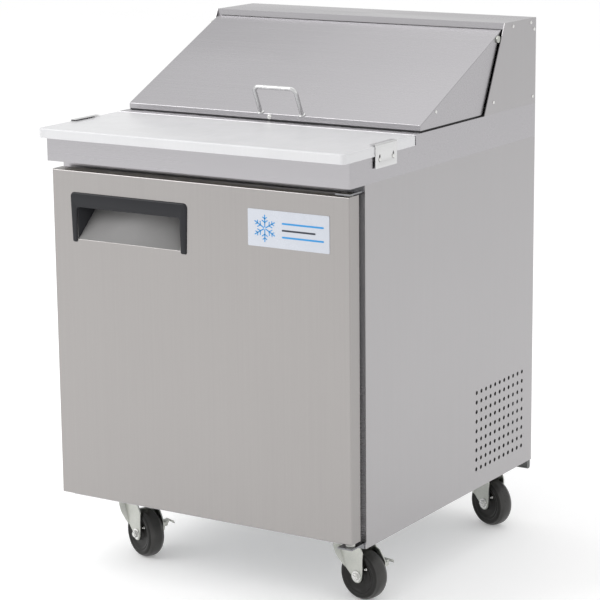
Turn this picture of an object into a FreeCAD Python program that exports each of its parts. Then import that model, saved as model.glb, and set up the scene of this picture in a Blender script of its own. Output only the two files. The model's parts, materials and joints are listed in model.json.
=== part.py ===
import FreeCAD, Part
import Sketcher
import math
import os
import re

# Refrigerated sandwich prep table: an insulated cabinet with one right-hung door, a worktop with a
# cutting board, eight food pans under a hinged lid, a rear hood, a condensing unit at the back and
# four swivel casters.
#
# Sizes are in millimetres. Every sub-part is drawn from one datum: x from the cabinet's middle
# plane, y from the front face of the worktop apron (towards the back), z from the floor. datum_x
# and datum_y then put the origin under the middle of the whole object's footprint. A caster's
# pieces are drawn from its own swivel axis, with the wheel trailing towards +x.

DIMENSIONS = [
    ("datum_x", 0), ("datum_y", -360.95),
    ("gauge", 1.5), ("table_half", 349.25), ("table_depth", 746.9),
    # the gap between sheets that lie together, and how far a cut runs past its material
    ("ease", 0.1), ("over", 5),
    # cabinet
    ("cab_front", 51.8), ("cab_low", 138.4), ("apron_low", 839.5), ("side_return", 20),
    ("opening_half", 309), ("opening_low", 192), ("opening_high", 788),
    ("liner_half", 314), ("liner_low", 184), ("liner_back", 701.5), ("liner_high", 886),
    ("step_front", 441.5), ("step_high", 397), ("header_back", 95), ("header_low", 795), ("fold_round", 2),
    ("bay_front", 484.8), ("bay_high", 352),
    # worktop
    ("ledge", 888.4), ("ledge_back", 242.4), ("deck_high", 908.4), ("apron_return", 16),
    ("well_half", 311.5), ("well_front", 298), ("well_back", 634), ("collar_low", 880),
    ("divider_half", 6), ("divider_thick", 3),
    # cutting board and its clips
    ("board_half", 351.5), ("board_front", -25), ("board_thick", 19.1), ("board_corner", 10),
    ("board_round", 3), ("clip_inner", 352), ("clip_front", 84), ("clip_back", 163), ("clip_low", 865),
    ("clip_gap", 4), ("clip_lip", 12), ("clip_slot", 9),
    # food pans
    ("pan_pitch", 162), ("pan_row", 176), ("pan_middle", 466), ("pan_wide", 161), ("pan_long", 175),
    ("pan_body_wide", 133), ("pan_body_long", 151), ("pan_taper", 8), ("pan_deep", 100), ("pan_wall", 1.2),
    # hood
    ("hood_high", 1086.4), ("hood_front", 606.3), ("hood_foot", 521.6), ("strip_low", 1072.2),
    # lid
    ("lid_half", 344.2), ("lid_front", 270), ("lid_low", 911.4), ("lip_high", 922.3),
    ("lid_back", 600), ("lid_back_high", 1073), ("lid_pivot_y", 583), ("lid_pivot_z", 1056),
    ("lid_foam_front", 316), ("lid_foam_back", 574), ("lid_foam_thick", 22), ("lid_foam_half", 340.2),
    ("lid_seal_wide", 8), ("lid_seal_high", 9), ("lid_sheet", 1.65), ("lid_core", 1.8), ("lid_round", 1.8),
    ("grip_middle", 26.5), ("grip_spread", 97), ("grip_rod", 4.25), ("grip_bend", 12), ("grip_high", 58),
    ("grip_y", 272), ("grip_z", 922.2), ("grip_lean", 24.5),
    # door
    ("door_left", -342), ("door_right", 343.8), ("door_low", 156.7), ("door_high", 823.5),
    ("door_front", 5.6), ("door_back", 39.3), ("skin", 1.2), ("door_round", 2.5),
    ("plateau_inset", 45), ("plateau_back", 47.5), ("seal_inset", 14), ("seal_wide", 14), ("seal_back", 51.5),
    ("hinge_x", 331.8), ("hinge_y", 22), ("pin_radius", 4), ("bush_bore", 4.06), ("bush_radius", 7),
    ("bush_deep", 15), ("flange_thick", 1.8), ("bracket_left", 313.8), ("bracket_right", 345.8),
    ("bracket_thick", 3), ("bracket_front", 4), ("bracket_gap", 0.5), ("foam_recess", 2), ("plateau_rise", 6),
    # door handle: a moulded frame round a pocket that deepens upwards
    ("handle_left", -298), ("handle_right", -17.5), ("handle_low", 681), ("handle_high", 781),
    ("handle_front", 2.6), ("pocket_left", -281.9), ("pocket_right", -36), ("pocket_low", 686.5),
    ("pocket_high", 751), ("pocket_back", 43.6), ("pocket_slope_high", 739), ("housing_high", 776),
    ("cheek_slant", 14),
    # badge
    ("badge_left", 121), ("badge_right", 301), ("badge_low", 714), ("badge_high", 785),
    # vents
    ("vent_radius", 4.3), ("vent_pitch", 20.3), ("vent_front", 496.3), ("vent_low", 180.5),
    ("vent_columns", 11), ("vent_rows", 9),
    # shelves
    ("shelf_half", 297), ("shelf_front", 75), ("shelf_back", 590), ("shelf_lower", 420), ("shelf_upper", 600),
    ("rod_radius", 3), ("wire_radius", 1.75), ("wire_pitch", 29), ("brace_inset", 172),
    ("strip_front", 108), ("strip_back", 547), ("strip_half", 8), ("strip_thick", 3),
    ("hook_half", 6), ("hook_wide", 2), ("hook_drop", 15),
    # evaporator and condensing unit
    ("evap_left", -250), ("evap_right", 250), ("evap_front", 600), ("evap_low", 560), ("evap_high", 790),
    ("evap_fan_x", 120), ("evap_fan_z", 675), ("evap_fan_radius", 70),
    ("cond_fan_x", 238), ("cond_fan_y", 610), ("cond_fan_z", 250), ("cond_fan_radius", 88),
    ("knob_x", -180), ("knob_z", 700), ("knob_radius", 16), ("knob_deep", 14), ("knob_grip", 6),
    ("hub_radius", 16), ("shaft_radius", 3), ("hub_bore", 3.06), ("blade_half", 20), ("blade_thick", 1.5),
    ("evap_hub", 24), ("evap_can", 28), ("cond_hub", 26), ("cond_can", 32), ("cond_half", 106),
    ("cond_near", 30), ("cond_far", 72), ("coil_left", 20), ("coil_bend", 4.5), ("coil_pitch", 30),
    ("compressor_x", -170), ("compressor_y", 615), ("compressor_radius", 68),
    ("case_left", -40), ("case_right", 70), ("case_low", 248.4), ("case_high", 323.4), ("case_wall", 2),
    ("gland_x", 15), ("gland_z", 193.4), ("gland_radius", 9), ("gland_bore", 4.5),
    # casters
    ("swivel_x", 260), ("swivel_front", 150), ("swivel_back", 694), ("trail", 29.5), ("wheel_radius", 50.8),
    ("wheel_half", 18.5), ("plate_thick", 4), ("plate_half_x", 46), ("plate_half_y", 32), ("kingpin", 6),
    ("bolt_inset_x", 9), ("bolt_inset_y", 8), ("bolt_radius", 4), ("bolt_head", 7.2), ("bolt_rise", 4.5),
    ("race_radius", 20), ("race_gap", 0.4),
    ("crown_radius", 36), ("crown_wall", 3), ("crown_high", 131.5), ("crown_low", 117),
    ("fork_inner", 20.2), ("fork_thick", 2.5), ("fork_neck", 27), ("fork_shoulder", 112),
    ("axle_radius", 5), ("washer_radius", 11.5), ("washer_thick", 2), ("nut_radius", 7), ("nut_thick", 6),
    ("brake_y", 27.5), ("brake_z", 72), ("brake_pin", 2.5), ("brake_front", 46.5), ("brake_back", 66.5),
    ("lug_wide", 3), ("toe_front", 45), ("toe_back", 67.5),
    ("turn_front_left", -23.5), ("turn_front_right", -11), ("turn_rear_left", -15),
    ("turn_rear_right", -20.3),
    # condensate tray under the rear edge
    ("tray_half", 347), ("tray_front", 733), ("tray_back", 746.4), ("tray_low", 119), ("tray_round", 5),
]

doc = FreeCAD.newDocument("SandwichPrepTable")
sheet = doc.addObject("Spreadsheet::Sheet", "dims")
for row, (alias, value) in enumerate(DIMENSIONS, start=1):
    sheet.set("A%d" % row, alias)
    sheet.set("B%d" % row, str(value))
    sheet.setAlias("B%d" % row, alias)
doc.recompute()

ALIASES = {alias for alias, _ in DIMENSIONS}
PIECES = []
AXES = {"x": FreeCAD.Vector(1, 0, 0), "y": FreeCAD.Vector(0, 1, 0), "z": FreeCAD.Vector(0, 0, 1)}
PLANES = {"XY": "XY_Plane", "XZ": "XZ_Plane", "YZ": "YZ_Plane"}


def formula(text):
    """Write a size, a number or words from the sheet, as a FreeCAD expression."""
    return re.sub(r"[a-z_]+", lambda word: "dims." + word[0] if word[0] in ALIASES else word[0], str(text))


def value(text):
    """The number that a formula gives at present."""
    number = sheet.evalExpression(formula(text))
    return float(getattr(number, "Value", number))


def bind(item, place, text):
    item.setExpression(place, formula(text))


def mirrored(side, text):
    """A distance from the middle plane, on the left (side -1) or the right (side 1)."""
    return "%d * (%s)" % (side, text)


def span_on(side, near, far):
    """The (low, high) pair of a stretch that is mirrored to one side of the middle plane."""
    ends = (mirrored(side, near), mirrored(side, far))
    return ends if side > 0 else ends[::-1]


# ---------------------------------------------------------------- primitives and booleans

def box(name, x, y, z):
    """A block between the (low, high) formulas of each axis."""
    block = doc.addObject("Part::Box", name)
    for size, axis, (low, high) in (("Length", "x", x), ("Width", "y", y), ("Height", "z", z)):
        bind(block, size, "(%s) - (%s)" % (high, low))
        bind(block, "Placement.Base." + axis, low)
    return block


def rod(name, axis, radius, start, length):
    """A round bar from start, a triple of formulas, along +x, +y or +z."""
    bar = doc.addObject("Part::Cylinder", name)
    bar.Placement = FreeCAD.Placement(FreeCAD.Vector(), FreeCAD.Rotation(AXES["z"], AXES[axis]))
    bind(bar, "Radius", radius)
    bind(bar, "Height", length)
    for letter, text in zip("xyz", start):
        bind(bar, "Placement.Base." + letter, text)
    return bar


def cut(name, base, *tools):
    result = doc.addObject("Part::Cut", name)
    result.Base = base
    result.Tool = tools[0] if len(tools) == 1 else group(name + "Tools", *tools)
    return result


def fuse(name, *shapes):
    result = doc.addObject("Part::MultiFuse", name)
    result.Shapes = list(shapes)
    return result


def group(name, *shapes):
    result = doc.addObject("Part::Compound", name)
    result.Links = list(shapes)
    return result


def copy_of(name, source, x=0, y=0, z=0):
    """The same solid again, moved by x, y, z."""
    link = doc.addObject("App::Link", name)
    link.LinkedObject = source
    for letter, text in zip("xyz", (x, y, z)):
        bind(link, "Placement.Base." + letter, text)
    return link


# ---------------------------------------------------------------- bodies drawn from sketches

def new_body(name):
    return doc.addObject("PartDesign::Body", name)


def sketch_on(body, plane, offset):
    """An empty sketch parallel to an origin plane, offset along that plane's normal."""
    sketch = body.newObject("Sketcher::SketchObject", body.Name + "Sketch")
    origin_plane = next(o for o in body.Origin.OriginFeatures if o.Role == PLANES[plane])
    sketch.AttachmentSupport = (origin_plane, "")
    sketch.MapMode = "FlatFace"
    bind(sketch, "AttachmentOffset.Base.z", offset)
    return sketch


def outline(sketch, points):
    """A closed outline of straight edges whose corners are all dimensioned from the origin."""
    spots = [(value(u), value(v)) for u, v in points]
    first = sketch.GeometryCount
    count = len(points)
    for here, there in zip(spots, spots[1:] + spots[:1]):
        sketch.addGeometry(Part.LineSegment(FreeCAD.Vector(*here, 0), FreeCAD.Vector(*there, 0)))
    for k in range(count):
        sketch.addConstraint(Sketcher.Constraint("Coincident", first + k, 2, first + (k + 1) % count, 1))
    for k, (u, v) in enumerate(points):
        for kind, text, number in (("DistanceX", u, spots[k][0]), ("DistanceY", v, spots[k][1])):
            index = sketch.addConstraint(Sketcher.Constraint(kind, -1, 1, first + k, 1, number))
            bind(sketch, "Constraints[%d]" % index, text)


def circle(sketch, u, v, radius):
    """A circle whose centre and radius are dimensioned."""
    centre = FreeCAD.Vector(value(u), value(v), 0)
    ring = sketch.addGeometry(Part.Circle(centre, AXES["z"], value(radius)))
    for kind, text, number in (("DistanceX", u, centre.x), ("DistanceY", v, centre.y)):
        index = sketch.addConstraint(Sketcher.Constraint(kind, -1, 1, ring, 3, number))
        bind(sketch, "Constraints[%d]" % index, text)
    index = sketch.addConstraint(Sketcher.Constraint("Radius", ring, value(radius)))
    bind(sketch, "Constraints[%d]" % index, radius)


def pad(body, plane, loops, span):
    """Add material between the (low, high) formulas of span, along the plane's axis."""
    low, high = span
    sketch = sketch_on(body, plane, "-(%s)" % high if plane == "XZ" else low)
    for points in loops:
        outline(sketch, points)
    feature = body.newObject("PartDesign::Pad", body.Name + "Pad")
    feature.Profile = sketch
    bind(feature, "Length", "(%s) - (%s)" % (high, low))
    body.Tip = feature
    return feature


def pocket(body, plane, loops, span):
    """Take away material between the (low, high) formulas of span, along the plane's axis."""
    low, high = span
    sketch = sketch_on(body, plane, "-(%s)" % low if plane == "XZ" else high)
    for points in loops:
        outline(sketch, points)
    feature = body.newObject("PartDesign::Pocket", body.Name + "Pocket")
    feature.Profile = sketch
    bind(feature, "Length", "(%s) - (%s)" % (high, low))
    body.Tip = feature
    return feature


def drill(body, plane, centres, radius, span):
    """Round holes between the (low, high) formulas of span."""
    low, high = span
    sketch = sketch_on(body, plane, "-(%s)" % low if plane == "XZ" else high)
    for u, v in centres:
        circle(sketch, u, v, radius)
    feature = body.newObject("PartDesign::Pocket", body.Name + "Holes")
    feature.Profile = sketch
    bind(feature, "Length", "(%s) - (%s)" % (high, low))
    body.Tip = feature
    return feature


def round_edges(body, radius, chosen):
    """Round the straight edges for which chosen(middle, direction) is true."""
    doc.recompute()
    base = body.Tip
    names = []
    for number, edge in enumerate(base.Shape.Edges, start=1):
        if len(edge.Vertexes) == 2:
            start, end = (vertex.Point for vertex in edge.Vertexes)
            if chosen((start + end) / 2, (end - start).normalize()):
                names.append("Edge%d" % number)
    feature = body.newObject("PartDesign::Fillet", body.Name + "Round")
    feature.Base = (base, names)
    bind(feature, "Radius", radius)
    body.Tip = feature
    return feature


def revolve(name, plane, points, sketch_axis):
    """A body turned about one of its sketch's own axes, V_Axis or H_Axis."""
    body = new_body(name)
    sketch = sketch_on(body, plane, 0)
    outline(sketch, points)
    feature = body.newObject("PartDesign::Revolution", name + "Turned")
    feature.Profile = sketch
    feature.ReferenceAxis = (sketch, [sketch_axis])
    feature.Angle = 360
    body.Tip = feature
    return body


def rectangle(u, v):
    return [(u[0], v[0]), (u[1], v[0]), (u[1], v[1]), (u[0], v[1])]


def both(half):
    """The (low, high) pair of a stretch centred on the middle plane."""
    return ("-(%s)" % half, half)


def piece(label, *shapes, x=0, y=0, z=0, turn=None):
    """One sub-part: the solids that share a node, placed in the object's own frame."""
    part = doc.addObject("Part::Compound", label)
    part.Label = label
    part.Links = list(shapes)
    if turn is not None:
        part.Placement = FreeCAD.Placement(FreeCAD.Vector(), FreeCAD.Rotation(AXES["z"], value(turn)))
    bind(part, "Placement.Base.x", "datum_x + (%s)" % x)
    bind(part, "Placement.Base.y", "datum_y + (%s)" % y)
    bind(part, "Placement.Base.z", z)
    PIECES.append(part)
    return part


def along(direction, axis):
    return abs(direction.dot(AXES[axis])) > 0.999


def near(number, text):
    return abs(number - value(text)) < 0.01


# ---------------------------------------------------------------- fasteners

SCREW_HEAD = 3.6
SCREW_RISE = 1.8
SCREW_SHANK = 1.6
SCREW_REACH = 5
SCREW_RELIEF = 3
RELIEF_REACH = 8
CLIP_SCREW_Y = (99.5, 149.5)
CLIP_SCREW_Z = 881.7
RAIL_SCREW_X = (-235, -215, -8, 13, 217, 229, 242, 266)
RAIL_SCREW_Z = 833
LIP_SCREW_Z = 916.1
LID_SCREW = (330, 941)
HOOD_SCREWS = ((643, 1077), (723, 1077.5), (738, 1063), (734.6, 924), (560, 932))


def screw_end(name, axis, outwards, spot, radius, length):
    """A round length that stands on spot, along the axis (outwards) or against it."""
    start = list(spot)
    if not outwards:
        place = "xyz".index(axis)
        start[place] = "(%s) - %s" % (spot[place], length)
    return rod(name, axis, radius, start, length)


def screw_head(name, axis, sign, spot):
    return screw_end(name + "_head", axis, sign > 0, spot, SCREW_HEAD, SCREW_RISE)


def screw(name, axis, sign, spot):
    """A pan-head screw whose head sits on spot and whose shank runs inwards, against sign."""
    shank = screw_end(name + "_shank", axis, sign < 0, spot, SCREW_SHANK, SCREW_REACH)
    return fuse(name, screw_head(name, axis, sign, spot), shank)


# ---------------------------------------------------------------- cabinet shell

def build_side_panel(side, label):
    """Outer side sheet with a return behind; the right one has the condenser's air holes."""
    body = new_body(label + "_body")
    outer, inner = "table_half", "table_half - gauge"
    back, back_inner = "table_depth", "table_depth - gauge"
    corners = [(outer, "cab_front"), (outer, back), ("table_half - side_return", back),
               ("table_half - side_return", back_inner), (inner, back_inner), (inner, "cab_front")]
    pad(body, "XY", [[(mirrored(side, u), v) for u, v in corners]], ("cab_low", "apron_low"))
    if side > 0:
        sketch = sketch_on(body, "YZ", "table_half + gauge")
        circle(sketch, "vent_front", "vent_low", "vent_radius")
        hole = body.newObject("PartDesign::Pocket", "VentHole")
        hole.Profile = sketch
        bind(hole, "Length", "3 * gauge")
        doc.recompute()
        pattern = body.newObject("PartDesign::LinearPattern", "VentPattern")
        pattern.Originals = [hole]
        pattern.Direction = (sketch, ["H_Axis"])
        pattern.Direction2 = (sketch, ["V_Axis"])
        pattern.Mode = "Spacing"
        pattern.Mode2 = "Spacing"
        bind(pattern, "Offset", "vent_pitch")
        bind(pattern, "Offset2", "vent_pitch")
        bind(pattern, "Occurrences", "vent_columns")
        # The second direction makes one row fewer than its count.
        bind(pattern, "Occurrences2", "vent_rows + 1")
        body.Tip = pattern
    piece(label, body)


def build_front_frame():
    """Face ring round the door opening, with clearance holes for the screws of the top rail."""
    body = new_body("front_frame_body")
    width = both("table_half - gauge")
    rings = [rectangle(width, ("cab_low", "apron_low")),
             rectangle(both("opening_half"), ("opening_low", "opening_high"))]
    pad(body, "XZ", rings, ("cab_front", "cab_front + gauge"))
    drill(body, "XZ", [(x, RAIL_SCREW_Z) for x in RAIL_SCREW_X], SCREW_SHANK,
          ("cab_front - gauge", "cab_front + 2 * gauge"))
    piece("front_frame", body)


def build_back_and_base():
    width = both("table_half - gauge - ease")
    back = ("table_depth - 2 * gauge", "table_depth - gauge")
    piece("back_panel", box("back_sheet", width, back, ("bay_high", "apron_low")))
    depth = ("cab_front + gauge", "table_depth - 2 * gauge")
    base = box("base_sheet", width, depth, ("cab_low", "cab_low + gauge"))
    holes = [rod("base_hole", "z", "bolt_radius + ease", (x, y, "cab_low - over"), "2 * over")
             for x, y in caster_bolts()]
    piece("base_pan", cut("base_cut", base, *holes))


def build_liner():
    """Inner box, open at the door and at the pan well, stepped over the machine bay."""
    body = new_body("cabinet_liner_body")
    front = "cab_front + gauge"
    outer = [(front, "liner_low"), ("step_front", "liner_low"), ("step_front", "step_high"),
             ("liner_back", "step_high"), ("liner_back", "liner_high"), ("header_back", "liner_high"),
             ("header_back", "header_low"), (front, "header_low")]
    inner = [("cab_front", "liner_low + gauge"), ("step_front - gauge", "liner_low + gauge"),
             ("step_front - gauge", "step_high + gauge"), ("liner_back - gauge", "step_high + gauge"),
             ("liner_back - gauge", "liner_high + over"), ("header_back + gauge", "liner_high + over"),
             ("header_back + gauge", "header_low - gauge"), ("cab_front", "header_low - gauge")]
    pad(body, "YZ", [outer], both("liner_half + gauge"))
    pocket(body, "YZ", [inner], both("liner_half"))
    piece("cabinet_liner", body)


def build_insulation():
    """Foam between the outer sheets and the liner, with the machine bay left free behind."""
    body = new_body("cabinet_insulation_body")
    front = "cab_front + gauge + ease"
    back = "table_depth - 2 * gauge - ease"
    floor = "cab_low + gauge + ease"
    outer = [(front, floor), ("bay_front", floor), ("bay_front", "bay_high"), (back, "bay_high"),
             (back, "liner_high"), (front, "liner_high")]
    inner = [("cab_front", "liner_low - ease"), ("step_front + ease", "liner_low - ease"),
             ("step_front + ease", "step_high - ease"), ("liner_back + ease", "step_high - ease"),
             ("liner_back + ease", "liner_high + over"), ("header_back - ease", "liner_high + over"),
             ("header_back - ease", "header_low + ease"), ("cab_front", "header_low + ease")]
    pad(body, "YZ", [outer], both("table_half - gauge - ease"))
    pocket(body, "YZ", [inner], both("liner_half + gauge + ease"))
    for x in RAIL_SCREW_X:
        relief = rectangle((x - SCREW_RELIEF, x + SCREW_RELIEF),
                           (RAIL_SCREW_Z - SCREW_RELIEF, RAIL_SCREW_Z + SCREW_RELIEF))
        pocket(body, "XZ", [relief], ("cab_front", "cab_front + %s" % RELIEF_REACH))
    piece("cabinet_insulation", body)


# ---------------------------------------------------------------- worktop

def build_deck():
    """Folded worktop: apron, ledge for the board, raised rear deck and the collar of the pan well."""
    body = new_body("worktop_deck_body")
    outer = [(0, "apron_low"), (0, "ledge"), ("ledge_back", "ledge"), ("ledge_back", "deck_high"),
             ("table_depth", "deck_high"), ("table_depth", "apron_low")]
    inner = [("apron_return", "apron_low - over"), ("apron_return", "apron_low + gauge"),
             ("gauge", "apron_low + gauge"), ("gauge", "ledge - gauge"),
             ("ledge_back + gauge", "ledge - gauge"), ("ledge_back + gauge", "deck_high - gauge"),
             ("table_depth - gauge", "deck_high - gauge"), ("table_depth - gauge", "apron_low - over")]
    pad(body, "YZ", [outer], both("table_half"))

    def outer_fold(middle, direction):
        upright = along(direction, "z") and near(abs(middle.x), "table_half") and near(middle.y, 0)
        front_top = along(direction, "x") and near(middle.y, 0) and near(middle.z, "ledge")
        step_top = along(direction, "x") and near(middle.y, "ledge_back") and near(middle.z, "deck_high")
        return upright or front_top or step_top

    round_edges(body, "fold_round", outer_fold)
    pocket(body, "YZ", [inner], both("table_half - gauge"))
    well = rectangle(both("well_half"), ("well_front", "well_back"))
    rim = rectangle(both("well_half + gauge"), ("well_front - gauge", "well_back + gauge"))
    pad(body, "XY", [rim], ("collar_low", "deck_high - gauge"))
    pocket(body, "XY", [well], ("collar_low - over", "deck_high + over"))
    drill(body, "YZ", [(y, CLIP_SCREW_Z) for y in CLIP_SCREW_Y], SCREW_SHANK, both("table_half + over"))
    piece("worktop_deck", body)


def build_board():
    body = new_body("cutting_board_body")
    pad(body, "XY", [rectangle(both("board_half"), ("board_front", "ledge_back"))],
        ("ledge", "ledge + board_thick"))
    round_edges(body, "board_corner", lambda middle, direction: along(direction, "z"))
    doc.recompute()
    slab = body.Tip
    top = value("ledge + board_thick")
    rim = [number for number, edge in enumerate(slab.Shape.Edges, start=1)
           if abs(edge.BoundBox.ZMin - top) < 0.01]
    feature = body.newObject("PartDesign::Fillet", "cutting_board_rim")
    feature.Base = (slab, ["Edge%d" % number for number in rim])
    bind(feature, "Radius", "board_round")
    body.Tip = feature
    piece("cutting_board", body)


def build_clips():
    """Folded plates hooked over the board's ends; each hangs on two keyhole slots."""
    clips = []
    top = "ledge + board_thick + clip_gap"
    tip = "clip_inner - clip_lip"
    for side in (-1, 1):
        body = new_body("clip_body")
        plate = [("clip_inner", "clip_low"), ("clip_inner + gauge", "clip_low"), ("clip_inner + gauge", top),
                 (tip, top), (tip, top + " - gauge"), ("clip_inner", top + " - gauge")]
        pad(body, "XZ", [[(mirrored(side, u), v) for u, v in plate]], ("clip_front", "clip_back"))
        for y in CLIP_SCREW_Y:
            slot = rectangle((y - SCREW_SHANK, y + SCREW_SHANK),
                             (CLIP_SCREW_Z - SCREW_SHANK, "%s + clip_slot" % CLIP_SCREW_Z))
            pocket(body, "YZ", [slot], span_on(side, "clip_inner - gauge", "clip_inner + 2 * gauge"))
        clips.append(body)
    piece("board_clips", *clips)


def build_pans():
    """Eight one-sixth pans, four across and two deep, on dividers in the pan well."""
    pan = new_body("food_pan_body")
    rim = (both("pan_wide / 2"), both("pan_long / 2"))
    pad(pan, "XY", [rectangle(*rim)], ("deck_high", "deck_high + pan_wall"))
    lofts = (("PartDesign::AdditiveLoft", "0"), ("PartDesign::SubtractiveLoft", "pan_wall"))
    for feature_type, wall in lofts:
        sections = []
        for level, shrink in (("deck_high", "0"), ("deck_high - pan_deep", "pan_taper")):
            sketch = sketch_on(pan, "XY", "%s + %s" % (level, wall))
            wide = "pan_body_wide / 2 - (%s) - (%s)" % (shrink, wall)
            long = "pan_body_long / 2 - (%s) - (%s)" % (shrink, wall)
            outline(sketch, rectangle(both(wide), both(long)))
            sections.append(sketch)
        loft = pan.newObject(feature_type, "PanLoft")
        loft.Profile = sections[0]
        loft.Sections = [sections[1]]
        pan.Tip = loft
    pans = []
    for row in (-0.5, 0.5):
        for column in (-1.5, -0.5, 0.5, 1.5):
            spot = ("%s * pan_pitch" % column, "pan_middle + %s * pan_row" % row)
            pans.append(copy_of("food_pan", pan, *spot))
    piece("food_pans", *pans)


def build_dividers():
    middle = "deck_high - divider_thick"
    bars = [box("divider", ("%s - divider_half" % x, "%s + divider_half" % x), ("well_front", "well_back"),
                (middle, "deck_high")) for x in ("-pan_pitch", "0", "pan_pitch")]
    bars.append(box("divider", both("well_half"), ("pan_middle - divider_half", "pan_middle + divider_half"),
                    (middle + " - divider_thick", middle)))
    piece("pan_dividers", *bars)


# ---------------------------------------------------------------- hood

def build_hood():
    inner, outer = "table_half - gauge", "table_half"
    cover = new_body("hood_cover_body")
    section = [("hood_front", "strip_low"), ("hood_front", "hood_high"), ("table_depth", "hood_high"),
               ("table_depth", "deck_high"), ("table_depth - gauge", "deck_high"),
               ("table_depth - gauge", "hood_high - gauge"), ("hood_front + gauge", "hood_high - gauge"),
               ("hood_front + gauge", "strip_low")]
    pad(cover, "YZ", [section], both(inner))
    piece("hood_cover", cover)
    for side, label in ((-1, "hood_side_left"), (1, "hood_side_right")):
        body = new_body(label + "_body")
        face = [("hood_foot", "deck_high"), ("hood_front", "hood_high"),
                ("table_depth", "hood_high"), ("table_depth", "deck_high")]
        pad(body, "YZ", [face], span_on(side, inner, outer))
        drill(body, "YZ", list(HOOD_SCREWS), SCREW_SHANK, both("table_half + over"))
        piece(label, body)


def build_lid_pins():
    pins = []
    for side in (-1, 1):
        shaft = span_on(side, "lid_half - gauge - 3", "table_half - gauge")
        collar = span_on(side, "lid_half + 0.6", "table_half - gauge")
        spot = ("lid_pivot_y", "lid_pivot_z")
        bars = [rod("lid_pin", "x", radius, (low, *spot), "(%s) - (%s)" % (high, low))
                for radius, (low, high) in (("pin_radius", shaft), ("pin_radius + 3", collar))]
        pins.append(fuse("lid_pivot", *bars))
    piece("lid_hinge_pins", *pins)


# ---------------------------------------------------------------- lid

SLOPE = "(lid_back_high - lip_high) / (lid_back - lid_front)"


def under_slope(y, drop):
    """A point on the lid's slope at y, moved straight down by drop."""
    return (y, "lip_high + (%s) * ((%s) - lid_front) - (%s)" % (SLOPE, y, drop))


def build_lid():
    skin = new_body("lid_skin_body")
    outer = [("lid_front", "lid_low"), ("lid_front", "lip_high"), ("lid_back", "lid_back_high"),
             ("hood_foot", "lid_low")]
    beyond = "lid_back + lid_seal_wide + 22"
    inner = [("lid_front + gauge", "lid_low - over"), under_slope("lid_front + gauge", "lid_sheet"),
             under_slope(beyond, "lid_sheet"), (beyond, "lid_low - over")]
    pad(skin, "YZ", [outer], both("lid_half"))

    def top_edge(middle, direction):
        lip = along(direction, "x") and near(middle.z, "lip_high")
        sloped = abs(direction.y) > 0.3 and middle.z > value("lip_high + over")
        ends = near(abs(middle.x), "lid_half") and sloped
        corner = along(direction, "z") and near(middle.y, "lid_front")
        slanted_back = abs(direction.z) > 0.8 and middle.y > value("hood_foot")
        return (lip or ends or corner) and not slanted_back

    round_edges(skin, "lid_round", top_edge)
    pocket(skin, "YZ", [inner], both("lid_half - gauge"))
    drill(skin, "YZ", [("lid_pivot_y", "lid_pivot_z")], "bush_bore", both("lid_half + over"))
    piece("lid_skin", skin)

    front, back, drop = "lid_foam_front", "lid_foam_back", "lid_sheet + lid_foam_thick"
    foam = new_body("lid_foam_body")
    pad(foam, "YZ", [[under_slope(front, "lid_core"), under_slope(back, "lid_core"),
                      under_slope(back, drop), under_slope(front, drop)]], both("lid_foam_half"))
    piece("lid_foam", foam)
    liner = new_body("lid_liner_body")
    front_out, back_out = "lid_foam_front - gauge", "lid_foam_back + gauge"
    pad(liner, "YZ", [[under_slope(front_out, "lid_core"), under_slope(back_out, "lid_core"),
                       under_slope(back_out, drop + " + gauge"), under_slope(front_out, drop + " + gauge")]],
        both("lid_half - 2 * gauge"))
    pocket(liner, "YZ", [[under_slope(front, "-5"), under_slope(back, "-5"),
                          under_slope(back, drop), under_slope(front, drop)]], both("lid_foam_half"))
    piece("lid_liner", liner)

    seal = new_body("lid_gasket_body")
    reach, inner = "lid_half - gauge", "lid_half - gauge - lid_seal_wide"
    front, inner_front, back = "lid_front + gauge", "lid_front + gauge + lid_seal_wide", "hood_foot - 4"
    half = [(inner, inner_front), (inner, back), (reach, back), (reach, front)]
    loop = [("-(%s)" % u, v) for u, v in reversed(half)] + half
    pad(seal, "XY", [loop], ("deck_high + 0.4", "deck_high + lid_seal_high"))
    piece("lid_gasket", seal)

    heads = [screw_head("lip_screw", "y", -1, (0, "lid_front", LIP_SCREW_Z))]
    for side in (-1, 1):
        heads.append(screw_head("lid_screw", "x", side, (mirrored(side, "lid_half"), *LID_SCREW)))
    piece("lid_screws", *heads)


def build_lid_handle():
    """A bent round bar, square to the lid's slope: two legs, two bends and a cross bar."""
    reach, radius = "grip_high - grip_bend", "grip_rod"
    half = "grip_spread / 2"
    bars = []
    for side in (-1, 1):
        bars.append(rod("grip_leg", "z", radius, (mirrored(side, half), 0, 0), reach))
        bend = doc.addObject("Part::Torus", "grip_bend")
        bind(bend, "Radius1", "grip_bend")
        bind(bend, "Radius2", radius)
        bend.Angle3 = 90
        turn = FreeCAD.Rotation(AXES["x"], 90)
        if side < 0:
            turn = FreeCAD.Rotation(AXES["z"], 180).multiply(turn)
        bend.Placement = FreeCAD.Placement(FreeCAD.Vector(), turn)
        bind(bend, "Placement.Base.x", mirrored(side, half + " - grip_bend"))
        bind(bend, "Placement.Base.z", reach)
        bars.append(bend)
    bars.append(rod("grip_cross", "x", radius, ("-(%s - grip_bend)" % half, 0, "grip_high"),
                    "grip_spread - 2 * grip_bend"))
    handle = fuse("grip_bar", *bars)
    handle.Placement = FreeCAD.Placement(FreeCAD.Vector(), FreeCAD.Rotation(AXES["x"], value("grip_lean")))
    bind(handle, "Placement.Base.x", "grip_middle")
    bind(handle, "Placement.Base.y", "grip_y")
    bind(handle, "Placement.Base.z", "grip_z + 2.8")
    piece("lid_handle", handle)


# ---------------------------------------------------------------- door

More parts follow.
